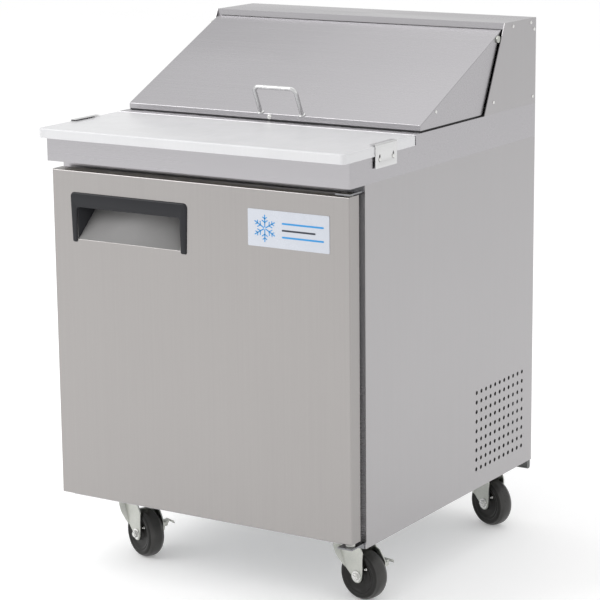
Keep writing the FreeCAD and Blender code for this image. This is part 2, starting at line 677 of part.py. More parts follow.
def build_door_skin():
    body = new_body("door_skin_body")
    face = rectangle(("door_left", "door_right"), ("door_low", "door_high"))
    hollow = rectangle(("door_left + skin", "door_right - skin"), ("door_low + skin", "door_high - skin"))
    pad(body, "XZ", [face], ("door_front", "door_back"))
    round_edges(body, "door_round", lambda middle, direction: near(middle.y, "door_front"))
    pocket(body, "XZ", [hollow], ("door_front + skin", "door_back + over"))
    window = rectangle(("pocket_left", "pocket_right"), ("pocket_low", "housing_high"))
    pocket(body, "XZ", [window], ("door_front - over", "door_front + skin + over"))
    slope = [("door_front", "pocket_low - 2.5"), ("door_front", "pocket_low"),
             ("pocket_back", "pocket_slope_high"), ("pocket_back + 1", "pocket_slope_high - 0.7"),
             ("door_front + skin", "pocket_low - 0.5"), ("door_front + skin", "pocket_low - 2.5")]
    pad(body, "YZ", [slope], ("pocket_left", "pocket_right"))
    drill(body, "XY", [("hinge_x", "hinge_y")], "bush_radius", ("door_low - over", "door_high + over"))
    piece("door_skin", body)


def build_door_foam():
    body = new_body("door_foam_body")
    gap = "skin + ease"
    width = ("door_left + %s" % gap, "door_right - (%s)" % gap)
    height = ("door_low + %s" % gap, "door_high - (%s)" % gap)
    pad(body, "XZ", [rectangle(width, height)], ("door_front + %s" % gap, "door_back - gauge"))
    inset = "plateau_inset + foam_recess"
    plateau = rectangle(("door_left + %s" % inset, "door_right - (%s)" % inset),
                        ("door_low + %s" % inset, "door_high - (%s) + plateau_rise" % inset))
    pad(body, "XZ", [plateau], ("door_back - gauge", "plateau_back - gauge - ease"))
    recess = rectangle(("pocket_left - 3", "pocket_right + 3"), ("pocket_low - 3", "housing_high + 1"))
    pocket(body, "XZ", [recess], ("door_front", "plateau_back + over"))
    drill(body, "XY", [("hinge_x", "hinge_y")], "bush_radius + ease", ("door_low - over", "door_high + over"))
    piece("door_foam", body)


def build_door_liner():
    body = new_body("door_liner_body")
    gap = "skin + ease"
    rim = rectangle(("door_left + %s" % gap, "door_right - (%s)" % gap),
                    ("door_low + %s" % gap, "door_high - (%s)" % gap))
    plateau_x = ("door_left + plateau_inset", "door_right - plateau_inset")
    plateau_z = ("door_low + plateau_inset", "door_high - plateau_inset + plateau_rise")
    hollow_x = ("door_left + plateau_inset + gauge", "door_right - plateau_inset - gauge")
    hollow_z = ("door_low + plateau_inset + gauge", "door_high - plateau_inset + plateau_rise - gauge")
    pad(body, "XZ", [rim], ("door_back - gauge", "door_back"))
    pad(body, "XZ", [rectangle(plateau_x, plateau_z)], ("door_back - gauge", "plateau_back"))
    pocket(body, "XZ", [rectangle(hollow_x, hollow_z)], ("door_back - gauge - over", "plateau_back - gauge"))
    drill(body, "XY", [("hinge_x", "hinge_y")], "bush_radius + ease", ("door_low - over", "door_high + over"))
    piece("door_liner", body)


def build_door_gasket():
    body = new_body("door_gasket_body")
    inset, inner = "seal_inset", "seal_inset + seal_wide"
    rings = [rectangle(("door_left + %s" % depth, "door_right - (%s)" % depth),
                       ("door_low + %s" % depth, "door_high - (%s)" % depth)) for depth in (inset, inner)]
    pad(body, "XZ", rings, ("door_back + ease", "seal_back"))
    piece("door_gasket", body)


def build_door_handle():
    """Moulded inverted-U frame on the door's face and the cheeks, roof and back of its pocket."""
    body = new_body("door_handle_body")
    low, high = "handle_low", "handle_high"
    arch = [("handle_left + 2", low), ("pocket_left", low), ("pocket_left", "pocket_high - 6"),
            ("pocket_left + 6", "pocket_high"), ("pocket_right - 6", "pocket_high"),
            ("pocket_right", "pocket_high - 6"), ("pocket_right", low), ("handle_right - 2", low),
            ("handle_right", "%s - 12" % high), ("handle_right - 4", high), ("handle_left + 4", high),
            ("handle_left", "%s - 12" % high)]
    pad(body, "XZ", [arch], ("handle_front", "door_front"))
    front, back = "door_front", "pocket_back"
    left_cheek = [("pocket_left", front + " - 1.5"), ("pocket_left + 1", front + " - 1.5"),
                  ("pocket_left + cheek_slant", back), ("pocket_left", back)]
    right_cheek = rectangle(("pocket_right - gauge", "pocket_right"), (front + " - 1.5", back))
    for cheek in (left_cheek, right_cheek):
        pad(body, "XY", [cheek], ("pocket_low + 1", "housing_high"))
    width = ("pocket_left", "pocket_right")
    pad(body, "XY", [rectangle(width, (front, back + " + gauge"))], ("housing_high - gauge", "housing_high"))
    rear_wall = rectangle(width, ("pocket_slope_high + 0.3", "housing_high"))
    pad(body, "XZ", [rear_wall], (back, back + " + gauge"))
    below = [(front, "pocket_low - 10"), (front, "pocket_low + 0.2"), (back, "pocket_slope_high + 0.2"),
             (back + " + 8", "pocket_slope_high + 0.2"), (back + " + 8", "pocket_low - 10")]
    pocket(body, "YZ", [below], ("pocket_left - 1", "pocket_right + 1"))
    piece("door_handle", body)


def build_badge():
    plate = box("badge_plate", ("badge_left", "badge_right"), ("door_front - 1", "door_front"),
                ("badge_low", "badge_high"))
    piece("door_badge", plate)


def build_door_bushes():
    """Flanged nylon sleeves let into the door's top and bottom edges at the hinge pins."""
    centre = ("hinge_x", "hinge_y")
    top, foot = "door_high + flange_thick", "cab_low + 9.1 + bracket_thick"
    ends = ((("door_high", top), ("door_high - bush_deep", top)),
            ((foot, "door_low"), (foot, "door_low + bush_deep")))
    bushes = []
    for flange, sleeve in ends:
        body = new_body("bush_body")
        for radius, (low, high) in (("bush_radius", sleeve), ("bush_radius + 2", flange)):
            sketch = sketch_on(body, "XY", low)
            circle(sketch, *centre, radius)
            feature = body.newObject("PartDesign::Pad", "BushPad")
            feature.Profile = sketch
            bind(feature, "Length", "(%s) - (%s)" % (high, low))
            body.Tip = feature
        drill(body, "XY", [centre], "bush_bore", (sleeve[0] + " - over", sleeve[1] + " + over"))
        bushes.append(body)
    piece("door_hinge_bushes", *bushes)


def build_hinge_brackets():
    """Flat plates on the cabinet's face above and below the door, each with a hinge pin."""
    width, depth = ("bracket_left", "bracket_right"), ("bracket_front", "cab_front")
    face = ("cab_front - bracket_thick", "cab_front")
    upper, lower = "door_high + bracket_thick", "cab_low + 9.1 - bracket_gap"
    plates = ((upper, (upper, "apron_low - 1"), ("door_high - bush_deep + 2", upper + " + 2")),
              (lower, ("cab_low", lower), (lower + " + 0.4", "door_low + bush_deep - 2")))
    brackets = []
    for low, flange_span, (pin_low, pin_high) in plates:
        plate = box("bracket_plate", width, depth, (low, low + " + bracket_thick"))
        flange = box("bracket_flange", width, face, flange_span)
        pin = rod("bracket_pin", "z", "pin_radius", ("hinge_x", "hinge_y", pin_low),
                  "(%s) - (%s)" % (pin_high, pin_low))
        brackets.append(fuse("hinge_bracket", plate, flange, pin))
    piece("door_hinge_brackets", *brackets)


# ---------------------------------------------------------------- inside the cabinet

def build_shelves():
    shelves, clips = [], []
    for level in ("shelf_lower", "shelf_upper"):
        centre = "%s + rod_radius" % level
        bars = []
        for y in ("shelf_front", "shelf_front + brace_inset", "shelf_back - brace_inset", "shelf_back"):
            bars.append(rod("shelf_rod", "x", "rod_radius", ("-shelf_half", y, centre), "2 * shelf_half"))
        for side in (-1, 1):
            start = (mirrored(side, "shelf_half"), "shelf_front", centre)
            bars.append(rod("shelf_rod", "y", "rod_radius", start, "shelf_back - shelf_front"))
        for k in range(-9, 10):
            bars.append(rod("shelf_wire", "y", "wire_radius",
                            ("%d * wire_pitch" % k, "shelf_front - 2", centre + " + rod_radius + 1"),
                            "shelf_back - shelf_front + 4"))
        shelves.append(fuse("wire_shelf", *bars))
        for side in (-1, 1):
            wall = "liner_half - strip_thick"
            for y in ("strip_front", "strip_back"):
                width = ("%s - hook_half" % y, "%s + hook_half" % y)
                arm = box("clip_arm", span_on(side, "shelf_half - over", wall), width,
                          (level + " - rod_radius", level))
                leg = box("clip_leg", span_on(side, wall + " - hook_wide", wall), width,
                          (level + " - hook_drop", level))
                clips.append(fuse("shelf_clip", arm, leg))
    piece("wire_shelves", *shelves)
    piece("shelf_clips", *clips)
    strips = []
    for side in (-1, 1):
        for y, foot in (("strip_front", "liner_low + 10"), ("strip_back", "step_high + over")):
            width = ("%s - strip_half" % y, "%s + strip_half" % y)
            strips.append(box("pilaster", span_on(side, "liner_half - strip_thick", "liner_half"), width,
                              (foot, "opening_high - strip_half")))
    piece("shelf_pilasters", *strips)


def fan_wheel(name, radius, depth, blades):
    """A fan wheel about its own z axis: a bored hub and pitched blades."""
    parts = [rod(name + "Hub", "z", "hub_radius", (0, 0, 0), depth)]
    inner, half, lift = 10, value("blade_half"), value(depth) / 2 - 9
    for k in range(blades):
        blade = box(name + "Blade", (inner, radius), both("blade_half"), (0, "blade_thick"))
        for letter in "xyz":
            blade.setExpression("Placement.Base." + letter, None)
        turn = FreeCAD.Rotation(AXES["z"], 360 / blades * k)
        pitch = FreeCAD.Rotation(AXES["x"], 24)
        spot = turn.multVec(FreeCAD.Vector(inner, 2 - half, lift))
        blade.Placement = FreeCAD.Placement(spot, turn.multiply(pitch))
        parts.append(blade)
    bore = rod(name + "Bore", "z", "hub_bore", (0, 0, "-over"), "%s + 2 * over" % depth)
    return cut(name, fuse(name + "Solid", *parts), bore)


def place_on_axis(shape, axis, x, y, z):
    """Stand a shape drawn about z on another axis."""
    shape.Placement = FreeCAD.Placement(FreeCAD.Vector(), FreeCAD.Rotation(AXES["z"], AXES[axis]))
    for letter, text in zip("xyz", (x, y, z)):
        bind(shape, "Placement.Base." + letter, text)
    return shape


def build_evaporator():
    """Cover with a fan ring, a knob hole and louvres; the coil with its return bends; the fan."""
    cover = new_body("evaporator_cover_body")
    width, height = ("evap_left", "evap_right"), ("evap_low", "evap_high")
    pad(cover, "XZ", [rectangle(width, height)], ("evap_front", "liner_back - gauge - ease"))
    inside = rectangle(("evap_left + skin", "evap_right - skin"), ("evap_low + skin", "evap_high - skin"))
    pocket(cover, "XZ", [inside], ("evap_front + skin", "liner_back + over"))
    through = ("evap_front - over", "evap_front + over")
    drill(cover, "XZ", [("evap_fan_x", "evap_fan_z")], "evap_fan_radius + 4", through)
    drill(cover, "XZ", [("knob_x", "knob_z")], "shaft_radius + 0.5", through)
    louvres = [rectangle(("evap_left + 25", "evap_left + 195"),
                         ("evap_low + %d" % low, "evap_low + %d" % (low + 6))) for low in range(14, 80, 12)]
    pocket(cover, "XZ", louvres, through)
    piece("evaporator_cover", cover)

    core = box("evap_core", ("evap_left + 20", "coil_left"), ("liner_back - 60", "liner_back - 12"),
               ("evap_low + 20", "evap_high - 20"))
    turns = []
    for k in range(6):
        level = "evap_low + 40 + %d * coil_pitch" % k
        turns.append(rod("evap_bend", "y", "coil_bend", ("coil_left + 6", "liner_back - 52", level), 32))
        turns.append(box("evap_stub", ("coil_left", "coil_left + 6"), ("liner_back - 50", "liner_back - 22"),
                         (level + " - 3", level + " + 3")))
    piece("evaporator_coil", fuse("evap_coil", core, *turns))

    wheel = fan_wheel("evap_wheel", "evap_fan_radius", "evap_hub", 4)
    piece("evaporator_fan", place_on_axis(wheel, "y", "evap_fan_x", "evap_front + 8", "evap_fan_z"))


def build_fan_motors():
    """Evaporator motor behind its fan, and condenser motor on a bracket beside its fan."""
    x, z = "evap_fan_x", "evap_fan_z"
    evap = [rod("evap_motor_can", "y", "evap_can", (x, "evap_front + 38", z), 42),
            rod("evap_motor_shaft", "y", "shaft_radius", (x, "evap_front + 10", z), 30),
            box("evap_motor_arm", (x + " - 8", x + " + 8"), ("evap_front + 60", "evap_front + 64"),
                ("evap_low + skin", "evap_high - skin"))]
    y, z, floor = "cond_fan_y", "cond_fan_z", "cab_low + gauge"
    leg_depth = (y + " - 26", y + " + 26")
    cond = [rod("cond_motor_can", "x", "cond_can", ("cond_fan_x - 92", y, z), 58),
            rod("cond_motor_shaft", "x", "shaft_radius", ("cond_fan_x - 40", y, z), 46),
            box("cond_motor_leg", ("cond_fan_x - 78", "cond_fan_x - 74"), leg_depth, (floor, z)),
            box("cond_motor_foot", ("cond_fan_x - 108", "cond_fan_x - 74"), leg_depth,
                (floor, floor + " + 3"))]
    piece("fan_motors", fuse("evap_motor", *evap), fuse("cond_motor", *cond))


def build_condenser():
    """Finned block between two end plates that stand on the base, and the fan that draws through it."""
    low, high = "cab_low + gauge + 6", "bay_high - 8"
    core = box("cond_core", ("cond_fan_x + cond_near", "cond_fan_x + cond_far"),
               ("cond_fan_y - cond_half", "cond_fan_y + cond_half"), ("%s + 3" % low, "%s - 3" % high))
    ends = []
    for y in ("cond_fan_y - cond_half - 2", "cond_fan_y + cond_half"):
        ends.append(box("cond_end", ("cond_fan_x + cond_near - 3", "cond_fan_x + cond_far + 3"),
                        (y, y + " + 2"), ("cab_low + gauge", high)))
    piece("condenser_coil", fuse("cond_coil", core, *ends))
    wheel = fan_wheel("cond_wheel", "cond_fan_radius", "cond_hub", 5)
    piece("condenser_fan", place_on_axis(wheel, "x", "cond_fan_x - 22", "cond_fan_y", "cond_fan_z"))


def build_compressor():
    """Welded steel shell on a plate with four rubber feet, and its terminal cover."""
    foot = value("cab_low + gauge")
    radius = "compressor_radius"
    profile = [(0, 13), (radius + " - 6", 13), (radius, 20), (radius, 122), (radius + " - 8", 142),
               (radius + " - 28", 156), (0, 162)]
    shell = revolve("compressor_shell", "XZ", [(u, foot + v) for u, v in profile], "V_Axis")
    plate = box("compressor_plate", (-85, 85), (-60, 60), (foot + 10, foot + 13))
    feet = [rod("compressor_foot", "z", 11, (x, y, foot), 10) for x in (-72, 72) for y in (-48, 48)]
    terminal = box("compressor_terminal", (-25, 25), ("-%s - 22" % radius, "-%s + 12" % radius),
                   (foot + 60, foot + 110))
    piece("compressor", fuse("compressor_body", shell, plate, terminal, *feet),
          x="compressor_x", y="compressor_y")


def tube(points, bend, radius):
    """A round tube along straight runs joined by tangent arcs of one bend radius."""
    spots = [FreeCAD.Vector(*(value(c) for c in point)) for point in points]
    edges, last = [], spots[0]
    for before, corner, after in zip(spots, spots[1:], spots[2:]):
        arrive, leave = (corner - before).normalize(), (after - corner).normalize()
        half_turn = arrive.getAngle(leave) / 2
        reach = bend * math.tan(half_turn)
        start, end = corner - arrive * reach, corner + leave * reach
        inward = (leave - arrive).normalize()
        middle = corner + inward * (bend / math.cos(half_turn) - bend)
        edges.append(Part.LineSegment(last, start).toShape())
        edges.append(Part.Arc(start, middle, end).toShape())
        last = end
    edges.append(Part.LineSegment(last, spots[-1]).toShape())
    path = Part.Wire(edges)
    ring = Part.Wire(Part.makeCircle(radius, spots[0], spots[1] - spots[0]))
    return path.makePipeShell([ring], True, True)


def build_refrigerant_lines():
    """Copper discharge and suction lines between compressor, condenser and bay roof."""
    top = "bay_high - 18"
    discharge = [("compressor_x + 40", "compressor_y - 20", "cab_low + 164"),
                 ("compressor_x + 40", "compressor_y - 20", top),
                 ("compressor_x + 40", "cond_fan_y - 90", top),
                 ("cond_fan_x + 30", "cond_fan_y - 90", top)]
    suction = [("compressor_x - 30", "compressor_y + 15", "cab_low + 164"),
               ("compressor_x - 30", "compressor_y + 15", "bay_high - 26"),
               ("compressor_x - 30", "compressor_y + 100", "bay_high - 26"),
               ("compressor_x - 30", "compressor_y + 100", "bay_high")]
    lines = []
    for name, points in (("discharge_line", discharge), ("suction_line", suction)):
        line = doc.addObject("Part::Feature", name)
        line.Shape = tube(points, 12, 3.2)
        lines.append(line)
    piece("refrigerant_lines", *lines)


def build_electrics():
    """Electrical box on the bay's rear sheet, the gland for a supply cord, and the thermostat."""
    rear = "table_depth - 2 * gauge"
    case = box("electric_case", ("case_left", "case_right"), ("table_depth - 60", rear + " - ease"),
               ("case_low", "case_high"))
    room = box("electric_room", ("case_left + case_wall", "case_right - case_wall"),
               ("table_depth - 60 + case_wall", rear + " - case_wall"),
               ("case_low + case_wall", "case_high - case_wall"))
    gland = rod("cord_gland", "y", "gland_radius", ("gland_x", "table_depth - 22", "gland_z"), 21.8)
    bore = rod("cord_bore", "y", "gland_bore", ("gland_x", "table_depth - 30", "gland_z"), 40)
    piece("electrical_box", cut("electric_shell", case, room), cut("gland", gland, bore))

    x, z = "knob_x", "knob_z"
    body = box("thermostat_case", (x + " - 24", x + " + 24"), ("evap_front + skin", "evap_front + 34"),
               (z + " - 28", z + " + 28"))
    shaft = rod("thermostat_shaft", "y", "shaft_radius", (x, "evap_front - 12", z), 20)
    piece("thermostat", fuse("thermostat_solid", body, shaft))
    front = "evap_front - 1 - knob_deep"
    disc = rod("knob_disc", "y", "knob_radius", (x, front, z), "knob_deep")
    grip = box("knob_bar", (x + " - knob_grip / 2", x + " + knob_grip / 2"), (front + " - knob_grip", front),
               (z + " - knob_radius + 2", z + " + knob_radius - 2"))
    hole = rod("knob_bore", "y", "hub_bore", (x, "evap_front - 12.4", z), 20)
    piece("thermostat_knob", cut("knob", fuse("knob_solid", disc, grip), hole))


def build_rear_grille():
    """Sheet over the back of the machine bay, with two banks of slots and the gland's hole."""
    width = both("table_half - gauge - ease")
    grille = new_body("rear_grille_body")
    pad(grille, "XZ", [rectangle(width, ("cab_low + gauge + 0.2", "bay_high - 0.2"))],
        ("table_depth - 2 * gauge", "table_depth - gauge"))
    slots = []
    for column in (-215, 215):
        for k in range(9):
            level = "cab_low + 30 + %d" % (18 * k)
            slots.append(rectangle((column - 85, column + 85), (level, level + " + 8")))
    through = ("table_depth - 8", "table_depth")
    pocket(grille, "XZ", slots, through)
    drill(grille, "XZ", [("gland_x", "gland_z")], "gland_radius + ease", through)
    piece("rear_grille", grille)


def build_tray():
    """Narrow condensate tray hung under the rear edge of the base."""
    body = new_body("condensate_tray_body")
    outer = rectangle(both("tray_half"), ("tray_front", "tray_back"))
    pad(body, "XY", [outer], ("tray_low", "cab_low - ease"))
    round_edges(body, "tray_round",
                lambda middle, direction: near(middle.z, "tray_low") and along(direction, "x"))
    hollow = rectangle(both("tray_half - gauge"), ("tray_front + gauge", "tray_back - gauge"))
    pocket(body, "XY", [hollow], ("tray_low + tray_round", "cab_low + over"))
    piece("condensate_tray", body)


# ---------------------------------------------------------------- casters

CASTERS = (("front_left", -1, "swivel_front"), ("front_right", 1, "swivel_front"),
           ("rear_left", -1, "swivel_back"), ("rear_right", 1, "swivel_back"))


def caster_bolts():
    """Where the four bolts of each caster plate stand, as (x, y) formulas."""
    spots = []
    for _, side, y in CASTERS:
        for dx in (-1, 1):
            for dy in (-1, 1):
                spots.append(("%d * swivel_x + %d * (plate_half_x - bolt_inset_x)" % (side, dx),
                              "%s + %d * (plate_half_y - bolt_inset_y)" % (y, dy)))
    return spots


def build_caster_plates():
    """Top plates with the upper ball race and the kingpin that each fork turns on."""
    holes = [rod("plate_hole", "z", "bolt_radius + ease", (x, y, "crown_low"), "crown_high - crown_low + 20")
             for x, y in caster_bolts()]
    plates = []
    for _, side, y in CASTERS:
        x = mirrored(side, "swivel_x")
        plate = box("caster_plate", ("%s - plate_half_x" % x, "%s + plate_half_x" % x),
                    ("%s - plate_half_y" % y, "%s + plate_half_y" % y), ("cab_low - plate_thick", "cab_low"))
        race = rod("caster_race", "z", "race_radius", (x, y, "crown_high + race_gap"),
                   "cab_low - plate_thick - crown_high")
        pin = rod("caster_kingpin", "z", "kingpin", (x, y, "crown_low - nut_thick"), "cab_low - crown_low")
        nut = rod("caster_nut", "z", "kingpin + 5", (x, y, "crown_low - nut_thick - race_gap"), "nut_thick")
        plates.append(fuse("caster_top", plate, race, pin, nut))
    piece("caster_plates", cut("caster_plates_cut", group("caster_tops", *plates), *holes))
    bolts = []
    for x, y in caster_bolts():
        head = doc.addObject("Part::Prism", "bolt_head")
        head.Polygon = 6
        bind(head, "Circumradius", "bolt_head")
        bind(head, "Height", "bolt_rise")
        for letter, text in zip("xyz", (x, y, "cab_low - plate_thick - bolt_rise")):
            bind(head, "Placement.Base." + letter, text)
        shank = rod("bolt_shank", "z", "bolt_radius", (x, y, "cab_low - plate_thick"), "plate_thick + gauge")
        bolts.append(fuse("caster_bolt", head, shank))
    piece("caster_bolts", *bolts)


def crown_disc(body, kind, level, radius):
    """A round pad up from level, or a round pocket down from it, as deep as the crown."""
    sketch = sketch_on(body, "XY", level)
    circle(sketch, 0, 0, radius)
    feature = body.newObject("PartDesign::" + kind, "Crown" + kind)
    feature.Profile = sketch
    bind(feature, "Length", "crown_high - crown_low")
    body.Tip = feature


def build_brake_mount(body, wall):
    """The inner leg's rear ear, with a window for the brake's heel, two lugs and the hinge pin."""
    ear = [(40, 102), (52, 97), (60, 88), ("brake_back", 78), ("brake_back", 60), (60, 54), (40, 52)]
    pad(body, "XZ", [ear], wall)
    window = rectangle(("brake_front + lug_wide", "brake_back - lug_wide"), ("brake_z - 15", "brake_z - 2"))
    pocket(body, "XZ", [window], ("fork_inner - over", "fork_inner + fork_thick + over"))
    face, crest = "fork_inner + fork_thick - ease", "brake_y + 4"
    lug = [(face, "brake_z - 4.5"), ("brake_y + 2", "brake_z - 4.5"), (crest, "brake_z - 2"),
           (crest, "brake_z + 2"), ("brake_y + 2", "brake_z + 4.5"), (face, "brake_z + 4.5")]
    pad(body, "YZ", [lug], ("brake_front", "brake_front + lug_wide"))
    pad(body, "YZ", [lug], ("brake_back - lug_wide", "brake_back"))
    sketch = sketch_on(body, "YZ", "brake_front")
    circle(sketch, "brake_y", "brake_z", "brake_pin")
    pin = body.newObject("PartDesign::Pad", "BrakePin")
    pin.Profile = sketch
    bind(pin, "Length", "brake_back - brake_front")
    body.Tip = pin


def build_fork(label, x, y, turn, braked):
    """Stamped fork: round crown, two legs with curved leading edges, and the axle bolt."""
    body = new_body("fork_body")
    crown_disc(body, "Pad", "crown_low", "crown_radius")
    crown_disc(body, "Pocket", "crown_high - crown_wall", "crown_radius - crown_wall - 1")
    top = "crown_high - crown_wall"
    leading = [("-fork_neck", top), ("-fork_neck", "fork_shoulder + 4"), (-33.5, "fork_shoulder"),
               (-31.5, 104), (-22, 85.5), (-9, 72.5), (4, 61.5), ("trail - 13.5", "wheel_radius - 1")]
    foot = [("trail - 9.5", "wheel_radius - 9.5"), ("trail - 3.5", "wheel_radius - 13"),
            ("trail + 3.5", "wheel_radius - 13"), ("trail + 10", "wheel_radius - 10.5")]
    trailing = [("trail + 15", "wheel_radius - 2"), ("trail + 15.5", "fork_shoulder"),
                ("fork_neck", "fork_shoulder + 4"), ("fork_neck", top)]
    inner_leg = ("fork_inner", "fork_inner + fork_thick")
    for wall in (span_on(-1, *inner_leg), inner_leg):
        pad(body, "XZ", [leading + foot + trailing], wall)
    if braked:
        build_brake_mount(body, inner_leg)
    drill(body, "XY", [(0, 0)], "kingpin + 0.08", ("crown_low - over", "crown_high + over"))
    drill(body, "XZ", [("trail", "wheel_radius")], "axle_radius", both("fork_inner + fork_thick + over"))
    reach = "fork_inner + fork_thick"
    bars = [("-(%s)" % reach, "axle_radius", "2 * (%s)" % reach),
            ("-(%s) - washer_thick" % reach, "washer_radius", "washer_thick"),
            (reach, "washer_radius", "washer_thick"),
            ("-(%s) - washer_thick - nut_thick" % reach, "nut_radius", "nut_thick"),
            (reach + " + washer_thick", "nut_radius", "nut_thick")]
    axle = [rod("axle_bar", "y", radius, ("trail", low, "wheel_radius"), length)
            for low, radius, length in bars]
    piece(label, body, fuse("axle_bolt", *axle), x=x, y=y, turn=turn)


def build_wheel(label, x, y, turn):
    """Rubber wheel turned about its axle, with a stepped side and a rounded tread."""
    half = "wheel_half"
    side = [("%s + 1" % half, "axle_radius + 0.06"), ("%s + 1" % half, 13), ("%s - 5" % half, 17),
            ("%s - 5" % half, 30), ("%s - 1" % half, 35), (half, 40), ("%s - 4" % half, 47.6),
            ("%s - 11" % half, "wheel_radius")]
    points = side + [("-(%s)" % u, v) for u, v in reversed(side)]
    body = revolve("wheel_body", "YZ", points, "H_Axis")
    along_x = "(%s) + trail * cos(%s)" % (x, turn)
    along_y = "(%s) + trail * sin(%s)" % (y, turn)
    piece(label, body, x=along_x, y=along_y, z="wheel_radius", turn=turn)


def build_pedal(label, x, y, turn):
    """Side brake: a lever hinged on the inner leg, with an arched toe plate and a heel below."""
    body = new_body("pedal_body")
    arm = [(-4, -13), (-1.8, -13), (-1, -5), (3.5, -3), (5, 1), (9.5, 3.2), (9.5, 5.4), (1, 5.8), (-3.5, 4)]
    toe = [(8.5, 3.4), (13, 3), (17.5, 0.6), (20.9, -3.4), (22.4, -2.2), (19, 2.4), (14, 5.1), (8.5, 5.6)]
    for shape, span in ((arm, ("brake_front + lug_wide + 0.5", "brake_back - lug_wide - 0.5")),
                        (toe, ("toe_front", "toe_back"))):
        pad(body, "YZ", [[("brake_y + %s" % u, "brake_z + %s" % v) for u, v in shape]], span)
    drill(body, "YZ", [("brake_y", "brake_z")], "brake_pin + 0.06", ("toe_front - over", "toe_back + over"))
    piece(label, body, x=x, y=y, turn=turn)


def build_casters():
    build_caster_plates()
    for name, side, y in CASTERS:
        x = mirrored(side, "swivel_x")
        turn = "turn_" + name
        braked = name.startswith("front")
        build_fork("caster_fork_" + name, x, y, turn, braked)
        build_wheel("caster_wheel_" + name, x, y, turn)
        if braked:
            build_pedal("brake_pedal_" + name, x, y, turn)


def build_cabinet_screws():
    screws = [screw("rail_screw", "y", -1, (x, "cab_front", RAIL_SCREW_Z)) for x in RAIL_SCREW_X]
    for side in (-1, 1):
        for y in CLIP_SCREW_Y:
            spot = (mirrored(side, "clip_inner + gauge"), y, CLIP_SCREW_Z)
            screws.append(screw("clip_screw", "x", side, spot))
        for y, z in HOOD_SCREWS:
            screws.append(screw("hood_screw", "x", side, (mirrored(side, "table_half"), y, z)))
    piece("cabinet_screws", *screws)


# ---------------------------------------------------------------- the whole table

def build_table():
    build_side_panel(-1, "side_panel_left")
    build_side_panel(1, "side_panel_right")
    build_front_frame()
    build_back_and_base()
    build_liner()
    build_insulation()
    build_deck()
    build_board()
    build_clips()
    build_pans()
    build_dividers()
    build_hood()
    build_lid_pins()
    build_lid()
    build_lid_handle()
    build_door_skin()
    build_door_foam()
    build_door_liner()
    build_door_gasket()
    build_door_handle()
    build_badge()
    build_door_bushes()
    build_hinge_brackets()
    build_shelves()
    build_evaporator()
    build_fan_motors()
    build_condenser()
    build_compressor()
    build_refrigerant_lines()
    build_electrics()
    build_rear_grille()
    build_tray()
    build_casters()
    build_cabinet_screws()


def check_and_export():
    """Every object has to be sound before any file is written."""
    faults = [item.Label for item in doc.Objects if {"Invalid", "Error"} & set(item.State)]
    for part in PIECES:
        if part.Shape.isNull() or not part.Shape.isValid() or not part.Shape.Solids:
            faults.append(part.Label + " shape")
    if faults:
        raise RuntimeError("unsound: " + ", ".join(faults))
    os.makedirs("parts", exist_ok=True)
    for part in PIECES:
        part.Shape.exportStep("parts/%s.step" % part.Label)
    extent = FreeCAD.BoundBox()
    for part in PIECES:
        extent.add(part.Shape.BoundBox)
    print("nodes %d, x %.2f to %.2f, y %.2f to %.2f, z %.2f to %.2f" % (
        len(PIECES), extent.XMin, extent.XMax, extent.YMin, extent.YMax, extent.ZMin, extent.ZMax))


build_table()
doc.recompute()
check_and_export()
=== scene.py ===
import json
import math

import bmesh
import bpy
from mathutils import Matrix, Vector


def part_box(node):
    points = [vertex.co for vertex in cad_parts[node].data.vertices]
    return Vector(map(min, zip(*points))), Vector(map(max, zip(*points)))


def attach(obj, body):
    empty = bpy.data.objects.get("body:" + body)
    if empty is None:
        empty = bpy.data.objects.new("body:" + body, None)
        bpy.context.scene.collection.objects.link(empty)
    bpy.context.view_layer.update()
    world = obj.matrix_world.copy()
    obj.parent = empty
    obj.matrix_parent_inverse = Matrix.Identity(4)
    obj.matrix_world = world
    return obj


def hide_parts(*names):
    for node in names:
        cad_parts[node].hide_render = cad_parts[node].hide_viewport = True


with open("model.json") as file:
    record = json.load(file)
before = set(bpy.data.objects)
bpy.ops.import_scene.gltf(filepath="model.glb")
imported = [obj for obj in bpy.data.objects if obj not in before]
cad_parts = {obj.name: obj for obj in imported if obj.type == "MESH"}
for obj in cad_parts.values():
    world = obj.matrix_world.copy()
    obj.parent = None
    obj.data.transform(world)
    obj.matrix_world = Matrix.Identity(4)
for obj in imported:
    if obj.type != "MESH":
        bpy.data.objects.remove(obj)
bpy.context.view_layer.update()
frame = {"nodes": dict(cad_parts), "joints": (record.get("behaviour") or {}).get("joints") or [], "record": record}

# Lengths are millimetres in the table's own datum: x from the middle plane, y from the front face of
# the worktop apron towards the back, z from the floor. DATUM_PLACE takes them to the shared frame.
MM = 0.001
DECK_LOW, DECK_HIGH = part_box("worktop_deck")
DATUM = Vector(((DECK_LOW.x + DECK_HIGH.x) / 2, DECK_LOW.y, 0))
DATUM_PLACE = Matrix.Translation(DATUM) @ Matrix.Scale(MM, 4)
JOINTS = {joint["name"]: joint for joint in frame["joints"]}
NODE_SLOT = {part["node"]: part["material_slot"] for part in frame["record"]["subparts"]}


def extent(node):
    """Lowest and highest corner of a CAD node, in datum millimetres."""
    low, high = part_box(node)
    return (low - DATUM) / MM, (high - DATUM) / MM


def joint_spot(name):
    return (Vector(JOINTS[name]["pos_m"]) - DATUM) / MM


# ------------------------------------------------------------------ materials

def tree(name):
    """A new material's nodes, its links and its shader."""
    made = bpy.data.materials.new(name)
    made.use_nodes = True
    nodes = made.node_tree.nodes
    return made, nodes, made.node_tree.links, nodes["Principled BSDF"]


